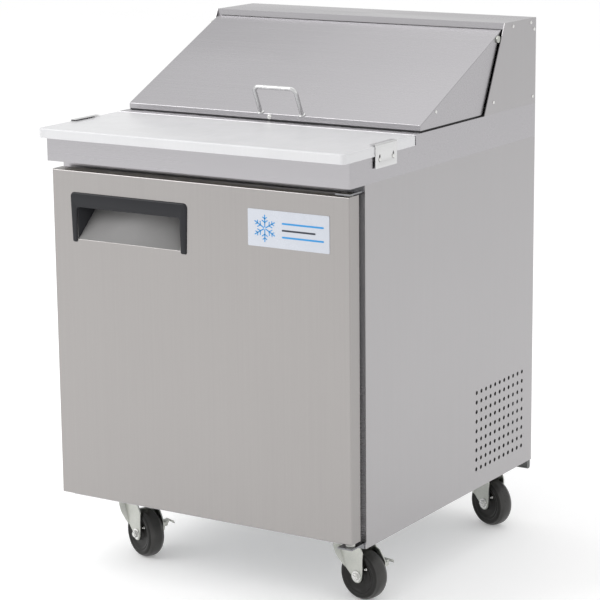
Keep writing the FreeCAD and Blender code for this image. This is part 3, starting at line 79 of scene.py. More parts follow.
def noise(nodes, links, stretch, detail=3, rough=0.55, distortion=0):
    """Noise over the object's own space; stretch is features per metre along each axis."""
    place = nodes.new("ShaderNodeTexCoord")
    scale = nodes.new("ShaderNodeMapping")
    scale.inputs["Scale"].default_value = stretch
    pattern = nodes.new("ShaderNodeTexNoise")
    pattern.inputs["Scale"].default_value = 1
    pattern.inputs["Detail"].default_value = detail
    pattern.inputs["Roughness"].default_value = rough
    pattern.inputs["Distortion"].default_value = distortion
    links.new(place.outputs["Object"], scale.inputs["Vector"])
    links.new(scale.outputs["Vector"], pattern.inputs["Vector"])
    return pattern.outputs["Fac"]


def ramp(nodes, links, source, low, high, span=(0.3, 0.7)):
    """source taken from span to the stretch between low and high."""
    spread = nodes.new("ShaderNodeMapRange")
    for socket, number in zip(("From Min", "From Max", "To Min", "To Max"), (*span, low, high)):
        spread.inputs[socket].default_value = number
    links.new(source, spread.inputs["Value"])
    return spread.outputs["Result"]


def mixed(nodes, links, factor, first, second):
    """Two colours, mixed by a varying factor."""
    blend = nodes.new("ShaderNodeMix")
    blend.data_type = "RGBA"
    blend.inputs["A"].default_value = (*first, 1)
    blend.inputs["B"].default_value = (*second, 1)
    links.new(factor, blend.inputs["Factor"])
    return blend.outputs["Result"]


def combined(nodes, links, first, second, share):
    """A weighted sum of two patterns."""
    blend = nodes.new("ShaderNodeMix")
    blend.data_type = "FLOAT"
    blend.inputs["Factor"].default_value = share
    links.new(first, blend.inputs["A"])
    links.new(second, blend.inputs["B"])
    return blend.outputs["Result"]


def bumped(nodes, links, shader, height, depth, strength=1.0):
    bump = nodes.new("ShaderNodeBump")
    bump.inputs["Strength"].default_value = strength
    bump.inputs["Distance"].default_value = depth
    links.new(height, bump.inputs["Height"])
    links.new(bump.outputs["Normal"], shader.inputs["Normal"])


def shade(color, share):
    return tuple(channel * share for channel in color)


def spread(color, contrast):
    """A darker and a lighter version of a colour."""
    return shade(color, 1 - contrast), shade(color, 1 + contrast)


GRAIN = {"x": (9, 1100, 1100), "y": (1100, 9, 1100), "z": (1100, 1100, 9)}
BRUSH = {"x": (1.6, 240, 240), "y": (240, 1.6, 240), "z": (240, 240, 1.6)}


def steel(name, color, grain, rough, contrast=0.05, anisotropy=0.45, depth=0.00002):
    """Brushed sheet: fine grain and broader strokes along one axis, with faint cloudy patches."""
    made, nodes, links, shader = tree(name)
    fine = noise(nodes, links, GRAIN[grain], 4)
    broad = noise(nodes, links, BRUSH[grain], 3)
    cloud = noise(nodes, links, (2.3, 2.3, 2.3), 3)
    strokes = combined(nodes, links, fine, broad, 0.45)
    look = combined(nodes, links, strokes, cloud, 0.4)
    tones = mixed(nodes, links, ramp(nodes, links, look, 0, 1), *spread(color, contrast))
    links.new(tones, shader.inputs["Base Color"])
    links.new(ramp(nodes, links, look, rough - 0.04, rough + 0.05), shader.inputs["Roughness"])
    shader.inputs["Metallic"].default_value = 1
    shader.inputs["Anisotropic"].default_value = anisotropy
    shader.inputs["Anisotropic Rotation"].default_value = 0.25 if grain == "z" else 0
    tangent = nodes.new("ShaderNodeTangent")
    tangent.direction_type = "RADIAL"
    tangent.axis = "Z" if grain in "xz" else "X"
    links.new(tangent.outputs["Tangent"], shader.inputs["Tangent"])
    bumped(nodes, links, shader, strokes, depth)
    return made


def plated(name, color, rough, tint, cell=260, contrast=0.14, depth=0.00003):
    """Zinc or cast metal: a mottled coat with slightly different hues and gloss from patch to patch."""
    made, nodes, links, shader = tree(name)
    patches = noise(nodes, links, (cell, cell, cell), 4, 0.6, 0.4)
    cloud = noise(nodes, links, (cell / 9,) * 3, 3)
    look = combined(nodes, links, patches, cloud, 0.5)
    tones = mixed(nodes, links, ramp(nodes, links, look, 0, 1), shade(color, 1 - contrast), tint)
    links.new(tones, shader.inputs["Base Color"])
    links.new(ramp(nodes, links, patches, rough - 0.06, rough + 0.1), shader.inputs["Roughness"])
    shader.inputs["Metallic"].default_value = 1
    bumped(nodes, links, shader, patches, depth)
    return made


def moulded(name, color, rough, texture=900, contrast=0.08, depth=0.00004, specular=0.5):
    """Moulded plastic or rubber: an even colour broken by fine spark texture and faint wear."""
    made, nodes, links, shader = tree(name)
    fine = noise(nodes, links, (texture, texture, texture), 2)
    wear = noise(nodes, links, (17, 17, 17), 4)
    look = combined(nodes, links, fine, wear, 0.6)
    tones = mixed(nodes, links, ramp(nodes, links, look, 0, 1), *spread(color, contrast))
    links.new(tones, shader.inputs["Base Color"])
    links.new(ramp(nodes, links, look, rough - 0.05, rough + 0.08), shader.inputs["Roughness"])
    shader.inputs["Specular IOR Level"].default_value = specular
    bumped(nodes, links, shader, fine, depth)
    return made


def make_board():
    """White polyethylene: satin, a little translucent, with faint knife marks both ways."""
    made, nodes, links, shader = tree("board_polyethylene")
    lengthwise, crosswise = noise(nodes, links, (14, 900, 40), 3), noise(nodes, links, (700, 22, 40), 3)
    marks = combined(nodes, links, lengthwise, crosswise, 0.5)
    cloud = noise(nodes, links, (5, 5, 5), 3)
    look = combined(nodes, links, marks, cloud, 0.5)
    tones = mixed(nodes, links, ramp(nodes, links, look, 0, 1), (0.62, 0.62, 0.632), (0.68, 0.68, 0.692))
    links.new(tones, shader.inputs["Base Color"])
    links.new(ramp(nodes, links, look, 0.17, 0.28), shader.inputs["Roughness"])
    shader.inputs["Subsurface Weight"].default_value = 0.15
    shader.inputs["Subsurface Radius"].default_value = (0.004, 0.004, 0.004)
    shader.inputs["Subsurface Scale"].default_value = 1
    bumped(nodes, links, shader, marks, 0.00003)
    return made


def make_foam():
    made, nodes, links, shader = tree("foam")
    cells = noise(nodes, links, (420, 420, 420), 5, 0.7)
    tones = mixed(nodes, links, ramp(nodes, links, cells, 0, 1), (0.62, 0.52, 0.28), (0.8, 0.72, 0.46))
    links.new(tones, shader.inputs["Base Color"])
    links.new(ramp(nodes, links, cells, 0.75, 0.95), shader.inputs["Roughness"])
    bumped(nodes, links, shader, cells, 0.0006)
    return made


def make_floor():
    made, nodes, links, shader = tree("studio_floor")
    cloud = noise(nodes, links, (0.6, 0.6, 0.6), 2)
    tones = mixed(nodes, links, ramp(nodes, links, cloud, 0, 1), (0.9, 0.9, 0.9), (0.92, 0.92, 0.92))
    links.new(tones, shader.inputs["Base Color"])
    shader.inputs["Emission Color"].default_value = (1, 1, 1, 1)
    shader.inputs["Emission Strength"].default_value = 0.22
    shader.inputs["Roughness"].default_value = 0.9
    shader.inputs["Specular IOR Level"].default_value = 0.1
    return made


MATERIALS = {
    # door_steel and side_steel are one brushed steel with the same grain and gloss. The door's darker colour is
    # painted shade and the sides' lighter colour is painted light, set for how the lamps fall on the front and the
    # sides.
    "door_steel": steel("door_steel", (0.357, 0.342, 0.335), "z", 0.33),
    "side_steel": steel("side_steel", (0.415, 0.405, 0.411), "z", 0.33),
    "top_steel": steel("top_steel", (0.425, 0.415, 0.43), "x", 0.26),
    "bright_steel": steel("bright_steel", (0.66, 0.66, 0.66), "x", 0.24),
    "galvanised_steel": plated("galvanised_steel", (0.5, 0.51, 0.52), 0.42, (0.62, 0.63, 0.64), 90),
    "liner_aluminium": steel("liner_aluminium", (0.76, 0.77, 0.78), "z", 0.36, 0.06),
    "pan_steel": steel("pan_steel", (0.66, 0.66, 0.67), "x", 0.2, 0.04, 0.2),
    "board_polyethylene": make_board(),
    "foam": make_foam(),
    "liner_plastic": moulded("liner_plastic", (0.8, 0.8, 0.79), 0.32, 600, 0.03, 0.00002),
    "gasket_rubber": moulded("gasket_rubber", (0.022, 0.022, 0.024), 0.5),
    "handle_plastic": moulded("handle_plastic", (0.012, 0.0125, 0.0155), 0.4, 1300, 0.12, 0.00005, 0.3),
    "badge": moulded("badge", (0.55, 0.575, 0.63), 0.25, 500, 0.02, 0.00001),
    "nylon": moulded("nylon", (0.72, 0.72, 0.68), 0.4),
    "zinc": plated("zinc", (0.50, 0.515, 0.48), 0.36, (0.60, 0.605, 0.565), 300, 0.1),
    "screw_steel": plated("screw_steel", (0.72, 0.72, 0.71), 0.22, (0.8, 0.8, 0.78), 900, 0.05),
    "wheel_rubber": moulded("wheel_rubber", (0.012, 0.0115, 0.0105), 0.4, 700, 0.25, 0.00006, 0.3),
    "wire_epoxy": moulded("wire_epoxy", (0.74, 0.74, 0.73), 0.3, 500, 0.03, 0.00003),
    "fin_aluminium": plated("fin_aluminium", (0.7, 0.71, 0.72), 0.3, (0.78, 0.79, 0.8), 500, 0.08),
    "compressor_paint": moulded("compressor_paint", (0.018, 0.018, 0.02), 0.3, 260, 0.15, 0.0001),
    "copper": plated("copper", (0.72, 0.36, 0.22), 0.26, (0.86, 0.5, 0.34), 120, 0.2),
    "motor_paint": moulded("motor_paint", (0.05, 0.05, 0.055), 0.38, 400),
    "fan_plastic": moulded("fan_plastic", (0.03, 0.03, 0.032), 0.42, 700),
    "fan_aluminium": plated("fan_aluminium", (0.7, 0.7, 0.7), 0.28, (0.8, 0.8, 0.8), 400, 0.08),
    "control_plastic": moulded("control_plastic", (0.06, 0.06, 0.065), 0.4, 800),
}
BLUE_PRINT = moulded("blue_print", (0.02, 0.27, 0.62), 0.3, 500, 0.05, 0.00001)
DARK_PRINT = moulded("dark_print", (0.02, 0.025, 0.04), 0.3, 500, 0.05, 0.00001)
# Dark grey for the slope in the door handle's pocket: painted shade for the recess behind the grip.
SLOPE_PAINTED_SHADE = moulded("slope_painted_shade", (0.25, 0.246, 0.245), 0.5, 700, 0.04, 0.00002, 0.3)
TREAD_RUBBER = moulded("tread_rubber", (0.02, 0.019, 0.017), 0.3, 500, 0.25, 0.00006, 0.6)
# Mirror-bright chrome for the door's hinge brackets. The mirror finish is real; its very dark colour is painted
# shade for the shadowed gap under the door's bottom edge.
CHROME_WITH_PAINTED_SHADE = plated("chrome_with_painted_shade", (0.2, 0.2, 0.21), 0.1, (0.26, 0.26, 0.27), 60, 0.05, 0.00001)
# Rough zinc for the condensate tray; its very dark colour is painted shade for the tray's end in the cabinet's
# shadow at the rear.
ZINC_WITH_PAINTED_SHADE = plated("zinc_with_painted_shade", (0.15, 0.155, 0.155), 0.5, (0.2, 0.205, 0.2), 90)
STOP_RUBBER = moulded("stop_rubber", (0.03, 0.03, 0.03), 0.6, 500)


# ------------------------------------------------------------------ shapes, in millimetres

def bridge(shape, first, second, closed=True):
    """Faces between two rows of vertices; a row of one vertex is a tip."""
    count = max(len(first), len(second))
    for k in range(count if closed else count - 1):
        corners = [first[k % len(first)], first[(k + 1) % len(first)],
                   second[(k + 1) % len(second)], second[k % len(second)]]
        face = list(dict.fromkeys(corners))
        if len(face) > 2:
            shape.faces.new(face)


def loft(rows, closed=True, ring=False, cap_start=False, cap_end=False):
    """A skin over rows of points, each row with as many points as the next."""
    shape = bmesh.new()
    made = [[shape.verts.new(point) for point in row] for row in rows]
    pairs = list(zip(made, made[1:]))
    if ring:
        pairs.append((made[-1], made[0]))
    for first, second in pairs:
        bridge(shape, first, second, closed)
    if cap_start:
        shape.faces.new(made[0][::-1])
    if cap_end:
        shape.faces.new(made[-1])
    bmesh.ops.recalc_face_normals(shape, faces=shape.faces)
    return shape


def circle(radius, steps, turns=None):
    """Points evenly round a circle, or only the first few of them."""
    return [(radius * math.cos(math.tau * k / steps), radius * math.sin(math.tau * k / steps))
            for k in range(steps if turns is None else turns)]


def lathe(profile, steps=48):
    """Turned about z from (radius, height) points; a point on the axis closes an end."""
    rows = []
    for radius, height in profile:
        turns = steps if radius > 1e-6 else 1
        rows.append([(x, y, height) for x, y in circle(radius, steps, turns)])
    return loft(rows)


def rounded(points, radius, steps=5, closed=True):
    """An outline whose corners are turned into arcs."""
    spots = [Vector(point) for point in points]
    count = len(spots)
    result = []
    for k, corner in enumerate(spots):
        if not closed and k in (0, count - 1):
            result.append(corner)
            continue
        before, after = spots[k - 1], spots[(k + 1) % count]
        arrive, leave = (corner - before).normalized(), (after - corner).normalized()
        half = arrive.angle(leave) / 2
        if half < 1e-3:
            result.append(corner)
            continue
        reach = min(radius * math.tan(half), 0.49 * (corner - before).length, 0.49 * (after - corner).length)
        centre = corner + (leave - arrive).normalized() * (reach / math.sin(half))
        start, end = corner - arrive * reach - centre, corner + leave * reach - centre
        result.extend(centre + start.slerp(end, step / steps) * start.length for step in range(steps + 1))
    return result


def from_curve(dimensions, loops, closed, **settings):
    """The mesh of a curve object, welded."""
    curve = bpy.data.curves.new("outline", "CURVE")
    curve.dimensions = dimensions
    for key, setting in settings.items():
        setattr(curve, key, setting)
    for loop in loops:
        spline = curve.splines.new("POLY")
        spline.points.add(len(loop) - 1)
        for point, spot in zip(spline.points, loop):
            point.co = (*Vector(spot).to_3d(), 1)
        spline.use_cyclic_u = closed
    item = bpy.data.objects.new("outline", curve)
    mesh = bpy.data.meshes.new_from_object(item)
    shape = bmesh.new()
    shape.from_mesh(mesh)
    bmesh.ops.remove_doubles(shape, verts=shape.verts, dist=1e-4)
    bmesh.ops.recalc_face_normals(shape, faces=shape.faces)
    bpy.data.objects.remove(item)
    bpy.data.curves.remove(curve)
    bpy.data.meshes.remove(mesh)
    return shape


def plate(loops, thick, edge=0.3):
    """A flat plate from z 0 to thick, with softened rims; loops after the first are holes."""
    shape = from_curve("2D", loops, True, fill_mode="BOTH", extrude=thick / 2 - edge, bevel_depth=edge,
                       bevel_resolution=2, offset=-edge)
    return moved(shape, Matrix.Translation((0, 0, thick / 2)))


def tube(path, radius, closed=False):
    return from_curve("3D", [path], closed, bevel_depth=radius, bevel_resolution=5, use_fill_caps=not closed)


def block(x, y, z, edge=0.5):
    """A block with rounded edges."""
    shape = bmesh.new()
    bmesh.ops.create_cube(shape, size=1)
    size = Vector((x[1] - x[0], y[1] - y[0], z[1] - z[0]))
    middle = Vector((x[0] + x[1], y[0] + y[1], z[0] + z[1])) / 2
    place = Matrix.Translation(middle) @ Matrix.Diagonal((*size, 1))
    bmesh.ops.transform(shape, matrix=place, verts=shape.verts)
    bmesh.ops.bevel(shape, geom=list(shape.edges), offset=edge, segments=3, affect="EDGES", profile=0.5)
    return shape


def moved(shape, matrix):
    bmesh.ops.transform(shape, matrix=matrix, verts=shape.verts)
    if matrix.determinant() < 0:
        bmesh.ops.reverse_faces(shape, faces=shape.faces)
    return shape


def joined(*shapes):
    """One shape that holds all the given ones."""
    whole = shapes[0]
    for shape in shapes[1:]:
        mesh = bpy.data.meshes.new("joined")
        shape.to_mesh(mesh)
        whole.from_mesh(mesh)
        bpy.data.meshes.remove(mesh)
        shape.free()
    return whole


def copied(shape, matrix):
    return moved(shape.copy(), matrix)


def shift(x=0, y=0, z=0):
    return Matrix.Translation((x, y, z))


def turned(degrees, axis):
    return Matrix.Rotation(math.radians(degrees), 4, axis)


# Takes a shape drawn in x and y with its thickness along z to another plane.
FACING_FRONT = turned(90, "X")
FACING_SIDE = Matrix(((0, 0, 1, 0), (1, 0, 0, 0), (0, 1, 0, 0), (0, 0, 0, 1)))


def add(name, shape, body, slot, place=DATUM_PLACE, replaces=(), material=None, sharp=32, thick=0):
    """Make a shape a piece of the object that rides on a body and stands for CAD nodes."""
    moved(shape, place)
    mesh = bpy.data.meshes.new(name)
    shape.to_mesh(mesh)
    shape.free()
    mesh.polygons.foreach_set("use_smooth", [True] * len(mesh.polygons))
    mesh.set_sharp_from_angle(angle=math.radians(sharp))
    item = bpy.data.objects.new(name, mesh)
    bpy.context.scene.collection.objects.link(item)
    mesh.materials.append(material or MATERIALS[slot])
    if thick:
        solid = item.modifiers.new("thickness", "SOLIDIFY")
        solid.thickness = thick * MM
        solid.offset = 0
    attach(item, body)
    if replaces:
        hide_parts(*replaces)
    return item


# ------------------------------------------------------------------ casters

CASTERS = ("front_left", "front_right", "rear_left", "rear_right")
FORK_HALF = 21.4
FORK_SHEET = 2.5
FORK_TOP = 130.0
FORK_BEND = 8.0
FORK_FOOT = 13.5
# By height: the fold where a leg's flat face ends, how far the skirt goes on forwards and outwards
# from there to meet the round crown, and the leg's rear edge.
FORK_FOLD = ((50.8, 16), (61.5, 3.5), (66, -1.4), (72, -2.6), (88, -9.5), (104, -16), (112, -18), (130, -17))
SKIRT_AHEAD = ((62, 0), (72, 4), (88, 6.5), (104, 6), (112, 5), (117, 5), (130, 5))
SKIRT_ASIDE = ((62, 0), (72, 4.5), (88, 10), (104, 11.5), (112, 10.5), (117, 6), (130, 0))
FORK_REAR = ((50.8, 43), (58, 44.4), (100, 45), (112, 38), (117, 29), (130, 27))


def caster_place(name):
    """The caster's own axes: z up the swivel, the wheel trailing towards +x."""
    swivel = Vector(JOINTS["swivel_" + name]["pos_m"])
    axle = JOINTS["roll_" + name]["axis"]
    heading = Matrix.Rotation(math.atan2(-axle[0], axle[1]), 4, "Z")
    return Matrix.Translation((swivel.x, swivel.y, 0)) @ heading @ Matrix.Scale(MM, 4)


def axle_spot(name):
    """Trail and height of the axle, in the caster's own axes."""
    wheel = Vector(JOINTS["roll_" + name]["pos_m"]) / MM
    swivel = Vector(JOINTS["swivel_" + name]["pos_m"]) / MM
    return (wheel - swivel).to_2d().length, wheel.z


def brake_spot(name):
    """Where the brake's hinge pin crosses the middle of its lever, in the caster's own axes."""
    return caster_place(name).inverted() @ Vector(JOINTS["brake_" + name]["pos_m"])


def smooth_step(number, low, high):
    share = min(max((number - low) / (high - low), 0), 1)
    return share * share * (3 - 2 * share)


def between(table, height):
    """The table's value at a height, on straight lines between its rows."""
    for (low, first), (high, second) in zip(table, table[1:]):
        if height <= high:
            return first + (second - first) * max(height - low, 0) / (high - low)
    return table[-1][1]


def fork_row(y, height, trail, axle):
    """One row across a leg, from its flared leading edge to its rear edge."""
    if height < axle:
        half = math.sqrt(max(FORK_FOOT ** 2 - (axle - height) ** 2, 0))
        fold, rear = trail - half, trail + half
    else:
        fold, rear = between(FORK_FOLD, height), between(FORK_REAR, height)
    ahead, aside = between(SKIRT_AHEAD, height), between(SKIRT_ASIDE, height)
    row = [(fold - ahead * k / 8 - 0.01 * k, y + math.copysign(aside * k / 8, y), height)
           for k in range(8, 0, -1)]
    row += [(fold + (rear - fold) * k / 8, y, height) for k in range(9)]
    return row


def fork_shell(trail, axle):
    """One pressed sheet: two legs with rounded feet, joined over the wheel and flared out to the crown."""
    heights = [axle - FORK_FOOT * math.cos(math.radians(angle)) for angle in range(0, 91, 9)]
    heights += [axle + (FORK_TOP - FORK_BEND - axle) * k / 18 for k in range(1, 19)]
    line = [(-FORK_HALF, height) for height in heights]
    line += [(-FORK_HALF + FORK_BEND * (1 - math.cos(math.radians(angle))),
              FORK_TOP - FORK_BEND * (1 - math.sin(math.radians(angle)))) for angle in range(15, 91, 15)]
    line += [(-y, z) for y, z in reversed(line)]
    shell = loft([fork_row(y, z, trail, axle) for y, z in line], closed=False)
    bmesh.ops.remove_doubles(shell, verts=shell.verts, dist=0.02)
    return shell


def hex_bolt(across, head, washer, stub):
    """A washer on z 0, a chamfered hexagon on it, and the bolt's domed end above that."""
    corner = across / math.sqrt(3)
    ring = lathe([(0, 0), (washer - 0.4, 0), (washer, 0.3), (washer, 1.3), (washer - 0.4, 1.6), (0, 1.6)], 40)
    nut = lathe([(0, 1.5), (corner - 0.6, 1.5), (corner, 2.2), (corner, 1 + head), (corner - 1, 1.6 + head),
                 (0, 1.6 + head)], 6)
    end = lathe([(0, 0), (stub, 0), (stub, 1.6), (stub - 1, 2.6), (0, 2.8)], 28)
    return joined(ring, nut, moved(end, shift(0, 0, 1 + head)))


def soften(item, width):
    """Round the rims of a sheet that a modifier has given its thickness."""
    rim = item.modifiers.new("rim", "BEVEL")
    rim.width = width * MM
    rim.segments = 2
    rim.limit_method = "ANGLE"


def build_fork(name):
    place, (trail, axle) = caster_place(name), axle_spot(name)
    node = "caster_fork_" + name
    shell = add("fork_" + name, fork_shell(trail, axle), node, "zinc", place, [node], thick=FORK_SHEET)
    soften(shell, 0.5)
    race = lathe([(6.2, 120), (32, 120), (34.4, 117.4), (35.6, 118), (36, 120), (36, 128.5), (35.6, 131),
                  (33.5, 131.3), (26, 129.5), (24, 130.8), (19, 130.8), (17, 129), (6.2, 129)], 64)
    add("fork_race_" + name, race, node, "zinc", place)
    reach = FORK_HALF + FORK_SHEET / 2
    near_end = copied(hex_bolt(13, 5, 11.2, 4), shift(trail, -reach, axle) @ turned(90, "X"))
    far_end = copied(hex_bolt(13, 5, 11.2, 4), shift(trail, reach, axle) @ turned(-90, "X"))
    shank = copied(lathe([(0, -reach), (4.9, -reach), (4.9, reach), (0, reach)], 32),
                   shift(trail, 0, axle) @ turned(90, "X"))
    add("axle_" + name, joined(near_end, far_end, shank), node, "screw_steel", place)
    if "brake_" + name in JOINTS:
        add("brake_mount_" + name, brake_mount(brake_spot(name)), node, "zinc", place)


def brake_mount(pivot):
    """Ear behind the inner leg with a window for the brake's heel, two lugs and the pin between them."""
    ear = rounded([(36, 106), (52, 99), (60, 88), (66.5, 78), (66.5, 59), (60, 53), (36, 50)], 5)
    window = rounded([(49.5, 57), (63.5, 57), (63.5, 70), (49.5, 70)], 2, 3)
    sheet = copied(plate([ear, window], FORK_SHEET), shift(0, FORK_HALF + FORK_SHEET / 2, 0) @ FACING_FRONT)
    face = FORK_HALF + FORK_SHEET / 2 - 0.4
    lug = rounded([(face, pivot.z - 4.5), (pivot.y + 4, pivot.z - 4.5), (pivot.y + 4, pivot.z + 4.5),
                   (face, pivot.z + 4.5)], 3.2)
    lugs = [copied(plate([lug], 3), shift(x, 0, 0) @ FACING_SIDE) for x in (46.5, 63.5)]
    pin = copied(lathe([(0, 0), (2, 0), (2.5, 0.5), (2.5, 20.5), (2, 21), (0, 21)], 28),
                 shift(46, pivot.y, pivot.z) @ turned(90, "Y"))
    return joined(sheet, *lugs, pin)


def build_wheel(name):
    """Solid rubber wheel: hub boss, sunk web, two steps, a bead and a rounded tread with faint side rings."""
    place, (trail, axle) = caster_place(name), axle_spot(name)
    side = [(5.08, 19), (5.6, 19.4), (11.6, 19.4), (12.6, 18.8), (13.2, 16.6), (14.4, 14.8), (17, 13.9),
            (27, 13.6), (29.4, 14), (31, 15.6), (32.2, 16.3), (35.4, 16.7), (36, 16.4), (36.5, 17),
            (38.4, 17.8), (41, 18.3), (43.6, 17.8), (46.2, 15.6), (47.6, 13.4), (48.3, 12.2), (48.6, 11.4),
            (49.2, 11), (50.1, 8.6), (50.6, 5.6), (50.78, 2.4)]
    core = side[:18] + [(46.5, 15), (49, 6), (49.4, 0)]
    body = lathe(core + [(radius, -height) for radius, height in reversed(core[:-1])] + side[:1], 72)
    bmesh.ops.remove_doubles(body, verts=body.verts, dist=1e-3)
    band = [(46, 15), *side[17:], (50.8, 0)]
    tread = lathe(band + [(radius, -height) for radius, height in reversed(band[:-1])] + band[:1], 96)
    bmesh.ops.remove_doubles(tread, verts=tread.verts, dist=1e-3)
    upright = shift(trail, 0, axle) @ turned(90, "X")
    node = "caster_wheel_" + name
    add("wheel_" + name, copied(body, upright), node, "wheel_rubber", place, [node], sharp=50)
    add("tread_" + name, moved(tread, upright), node, "wheel_rubber", place, material=TREAD_RUBBER, sharp=50)
    nipple = lathe([(0, 0), (3, 0), (3, 1.6), (1.6, 2.2), (1.4, 3.4), (1.9, 4.2), (1.5, 5), (0, 5.3)], 20)
    spot = upright @ turned(42, "Z") @ shift(23.5, 0, 13.6)
    add("grease_nipple_" + name, copied(nipple, spot), node, "screw_steel", place)
    body.free()


def build_pedal(name):
    """Side brake: an arched toe plate with a turned-down lip, on a lever whose heel hangs by the leg."""
    place, pivot = caster_place(name), brake_spot(name)
    node = "brake_pedal_" + name
    arch = rounded([(1, 4.6), (10, 5.6), (17.4, 3.4), (21.6, -3.2)], 7, 8, closed=False)
    rows = []
    for k, spot in enumerate(arch):
        share = k / (len(arch) - 1)
        half = 6.2 + 5 * smooth_step(share, 0.12, 0.5) - 3.5 * smooth_step(share, 0.86, 1)
        rows.append([(pivot.x + half * (j / 5 - 1), pivot.y + spot.x, pivot.z + spot.y) for j in range(11)])
    toe = add("brake_toe_" + name, loft(rows, closed=False), node, "zinc", place, [node], thick=2)
    soften(toe, 0.5)
    lever = rounded([(-4, -13), (-1.8, -13), (-1, -5), (4, -3.4), (10, 3.2), (9, 5.4), (-1, 5.6), (-4, 3)],
                    1.6)
    arm = copied(plate([lever, circle(2.75, 24)], 12.6), shift(pivot.x - 6.3, pivot.y, pivot.z) @ FACING_SIDE)
    add("brake_lever_" + name, arm, node, "zinc", place)


def build_caster_bolts():
    """Hexagon heads under the four corners of each top plate."""
    low, _ = extent("caster_bolts")
    spots = []
    for name in CASTERS:
        swivel = joint_spot("swivel_" + name)
        spots += [(swivel.x + dx * 37, swivel.y + dy * 24) for dx in (-1, 1) for dy in (-1, 1)]
    heads = [copied(hex_bolt(12.4, 3.2, 8.6, 3), shift(x, y, low.z + 5.1) @ turned(180, "X"))
             for x, y in spots]
    add("caster_bolt_heads", joined(*heads), "cabinet", "zinc", replaces=["caster_bolts"])


# ------------------------------------------------------------------ door

def rounded_frame(x, z, radius, steps=6):
    """The outline of a rounded rectangle between the (low, high) pairs."""
    return rounded([(x[0], z[0]), (x[1], z[0]), (x[1], z[1]), (x[0], z[1])], radius, steps)


def build_handle():
    """Moulded inverted-U grip round the pocket, and the pocket's own walls behind it."""
    low, high = extent("door_handle")
    skin_low, _ = extent("door_skin")
    foot, top = low.z, high.z
    inner_left, inner_right = low.x + 16.1, high.x - 18.5
    rows = []
    crown = ((0, skin_low.y + 1.6), (0, low.y + 3.6), (0.7, low.y + 1.6), (2, low.y + 0.4), (4, low.y))
    for inset, y in crown:
        left, right = low.x + inset, high.x - inset
        near_left, near_right = inner_left - inset / 2, inner_right + inset / 2
        base, roof, ceiling = foot + inset / 2, top - inset, top - 30 + inset / 2
        corners = [(near_left - 1.5, base), (left + 3.4, base), (left, roof), (right, roof),
                   (right - 3.4, base), (near_right + 1.5, base), (near_right, ceiling), (near_left, ceiling)]
        row = []
        for k, radius in enumerate((3, 3, 9, 9, 3, 3, 7, 7)):
            trio = [corners[k - 1], corners[k], corners[(k + 1) % len(corners)]]
            row += rounded(trio, radius, 7, closed=False)[1:-1]
        rows.append([(spot.x, y, spot.y) for spot in row])
    grip = loft(rows, cap_start=True, cap_end=True)
    add("handle_grip", grip, "door", "handle_plastic", replaces=["door_handle"], sharp=50)
    front, back = skin_low.y + 0.4, high.y - 1.5
    deep = 14
    sill, slope_top, roof = foot + 5.7, foot + 58.3, top - 5
    wall = [(inner_left, front), (inner_left + 0.8, front), (inner_left + deep, back),
            (inner_right - 1.5, back), (inner_right - 0.2, front), (inner_right, front),
            (inner_right, back + 1.3), (inner_left, back + 1.3)]
    walls = plate([rounded(wall, 0.5, 3)], roof - sill, 0.2)
    moved(walls, shift(0, 0, sill))
    slope = Vector((0, slope_top - sill, front - back)).normalized()
    faces = list(walls.verts) + list(walls.edges) + list(walls.faces)
    bmesh.ops.bisect_plane(walls, geom=faces, plane_co=(0, front, sill + 0.4), plane_no=slope,
                           clear_outer=True)
    lid = block((inner_left, inner_right), (front, back + 1.3), (roof - 1.5, roof), 0.3)
    add("handle_pocket", joined(walls, lid), "door", "handle_plastic", sharp=40)
    far_left, far_right = inner_left + deep, inner_right - 1.6
    # A thin dark sheet laid over the pocket's slope and back wall: painted shade in the recess behind the grip.
    lining = [[(x, front - 0.2, sill + 0.6) for x in (inner_left + 1, inner_right - 0.4)],
              [(x, back - 0.4, slope_top + 0.6) for x in (far_left, far_right)],
              [(x, back - 0.6, roof - 1.6) for x in (far_left, far_right)]]
    add("handle_slope", loft(lining, closed=False), "door", "door_steel", material=SLOPE_PAINTED_SHADE, thick=0.4)


def build_badge():
    """A generic refrigeration plate: a six-armed snowflake beside three plain stripes."""
    low, high = extent("door_badge")
    skin_low, _ = extent("door_skin")
    width, height = high.x - low.x, high.z - low.z
    face = skin_low.y - 1.0
    upright = shift(low.x, face, low.z) @ FACING_FRONT
    base = plate([rounded_frame((0, width), (0, height), 2.5)], 1.0, 0.3)
    add("badge_plate", copied(base, shift(0, 1.0, 0) @ upright), "door", "badge", replaces=["door_badge"])
    base.free()
    arms = []
    middle = shift(38, height / 2, 0)
    for k in range(6):
        turn = middle @ turned(60 * k, "Z")
        arms.append(copied(plate([rounded_frame((-1.1, 1.1), (2, 26), 0.8)], 0.4, 0.1), turn))
        for side in (-1, 1):
            for reach, size in ((11, 8), (18, 6)):
                twig = copied(plate([rounded_frame((-0.9, 0.9), (0, size), 0.6)], 0.4, 0.1),
                              turn @ shift(0, reach, 0) @ turned(side * 55, "Z"))
                arms.append(twig)
    print_face = upright @ shift(0, 0, -0.15)
    add("badge_snowflake", moved(joined(*arms), print_face), "door", "badge", material=BLUE_PRINT)
    stripes = [plate([rounded_frame((76, right), (z, z + 3.4), 1.6)], 0.4, 0.1)
               for right, z in ((168, 46), (150, 33), (168, 20))]
    add("badge_stripes", moved(joined(*stripes[::2]), print_face), "door", "badge", material=BLUE_PRINT)
    add("badge_middle_stripe", moved(stripes[1], print_face), "door", "badge", material=DARK_PRINT)


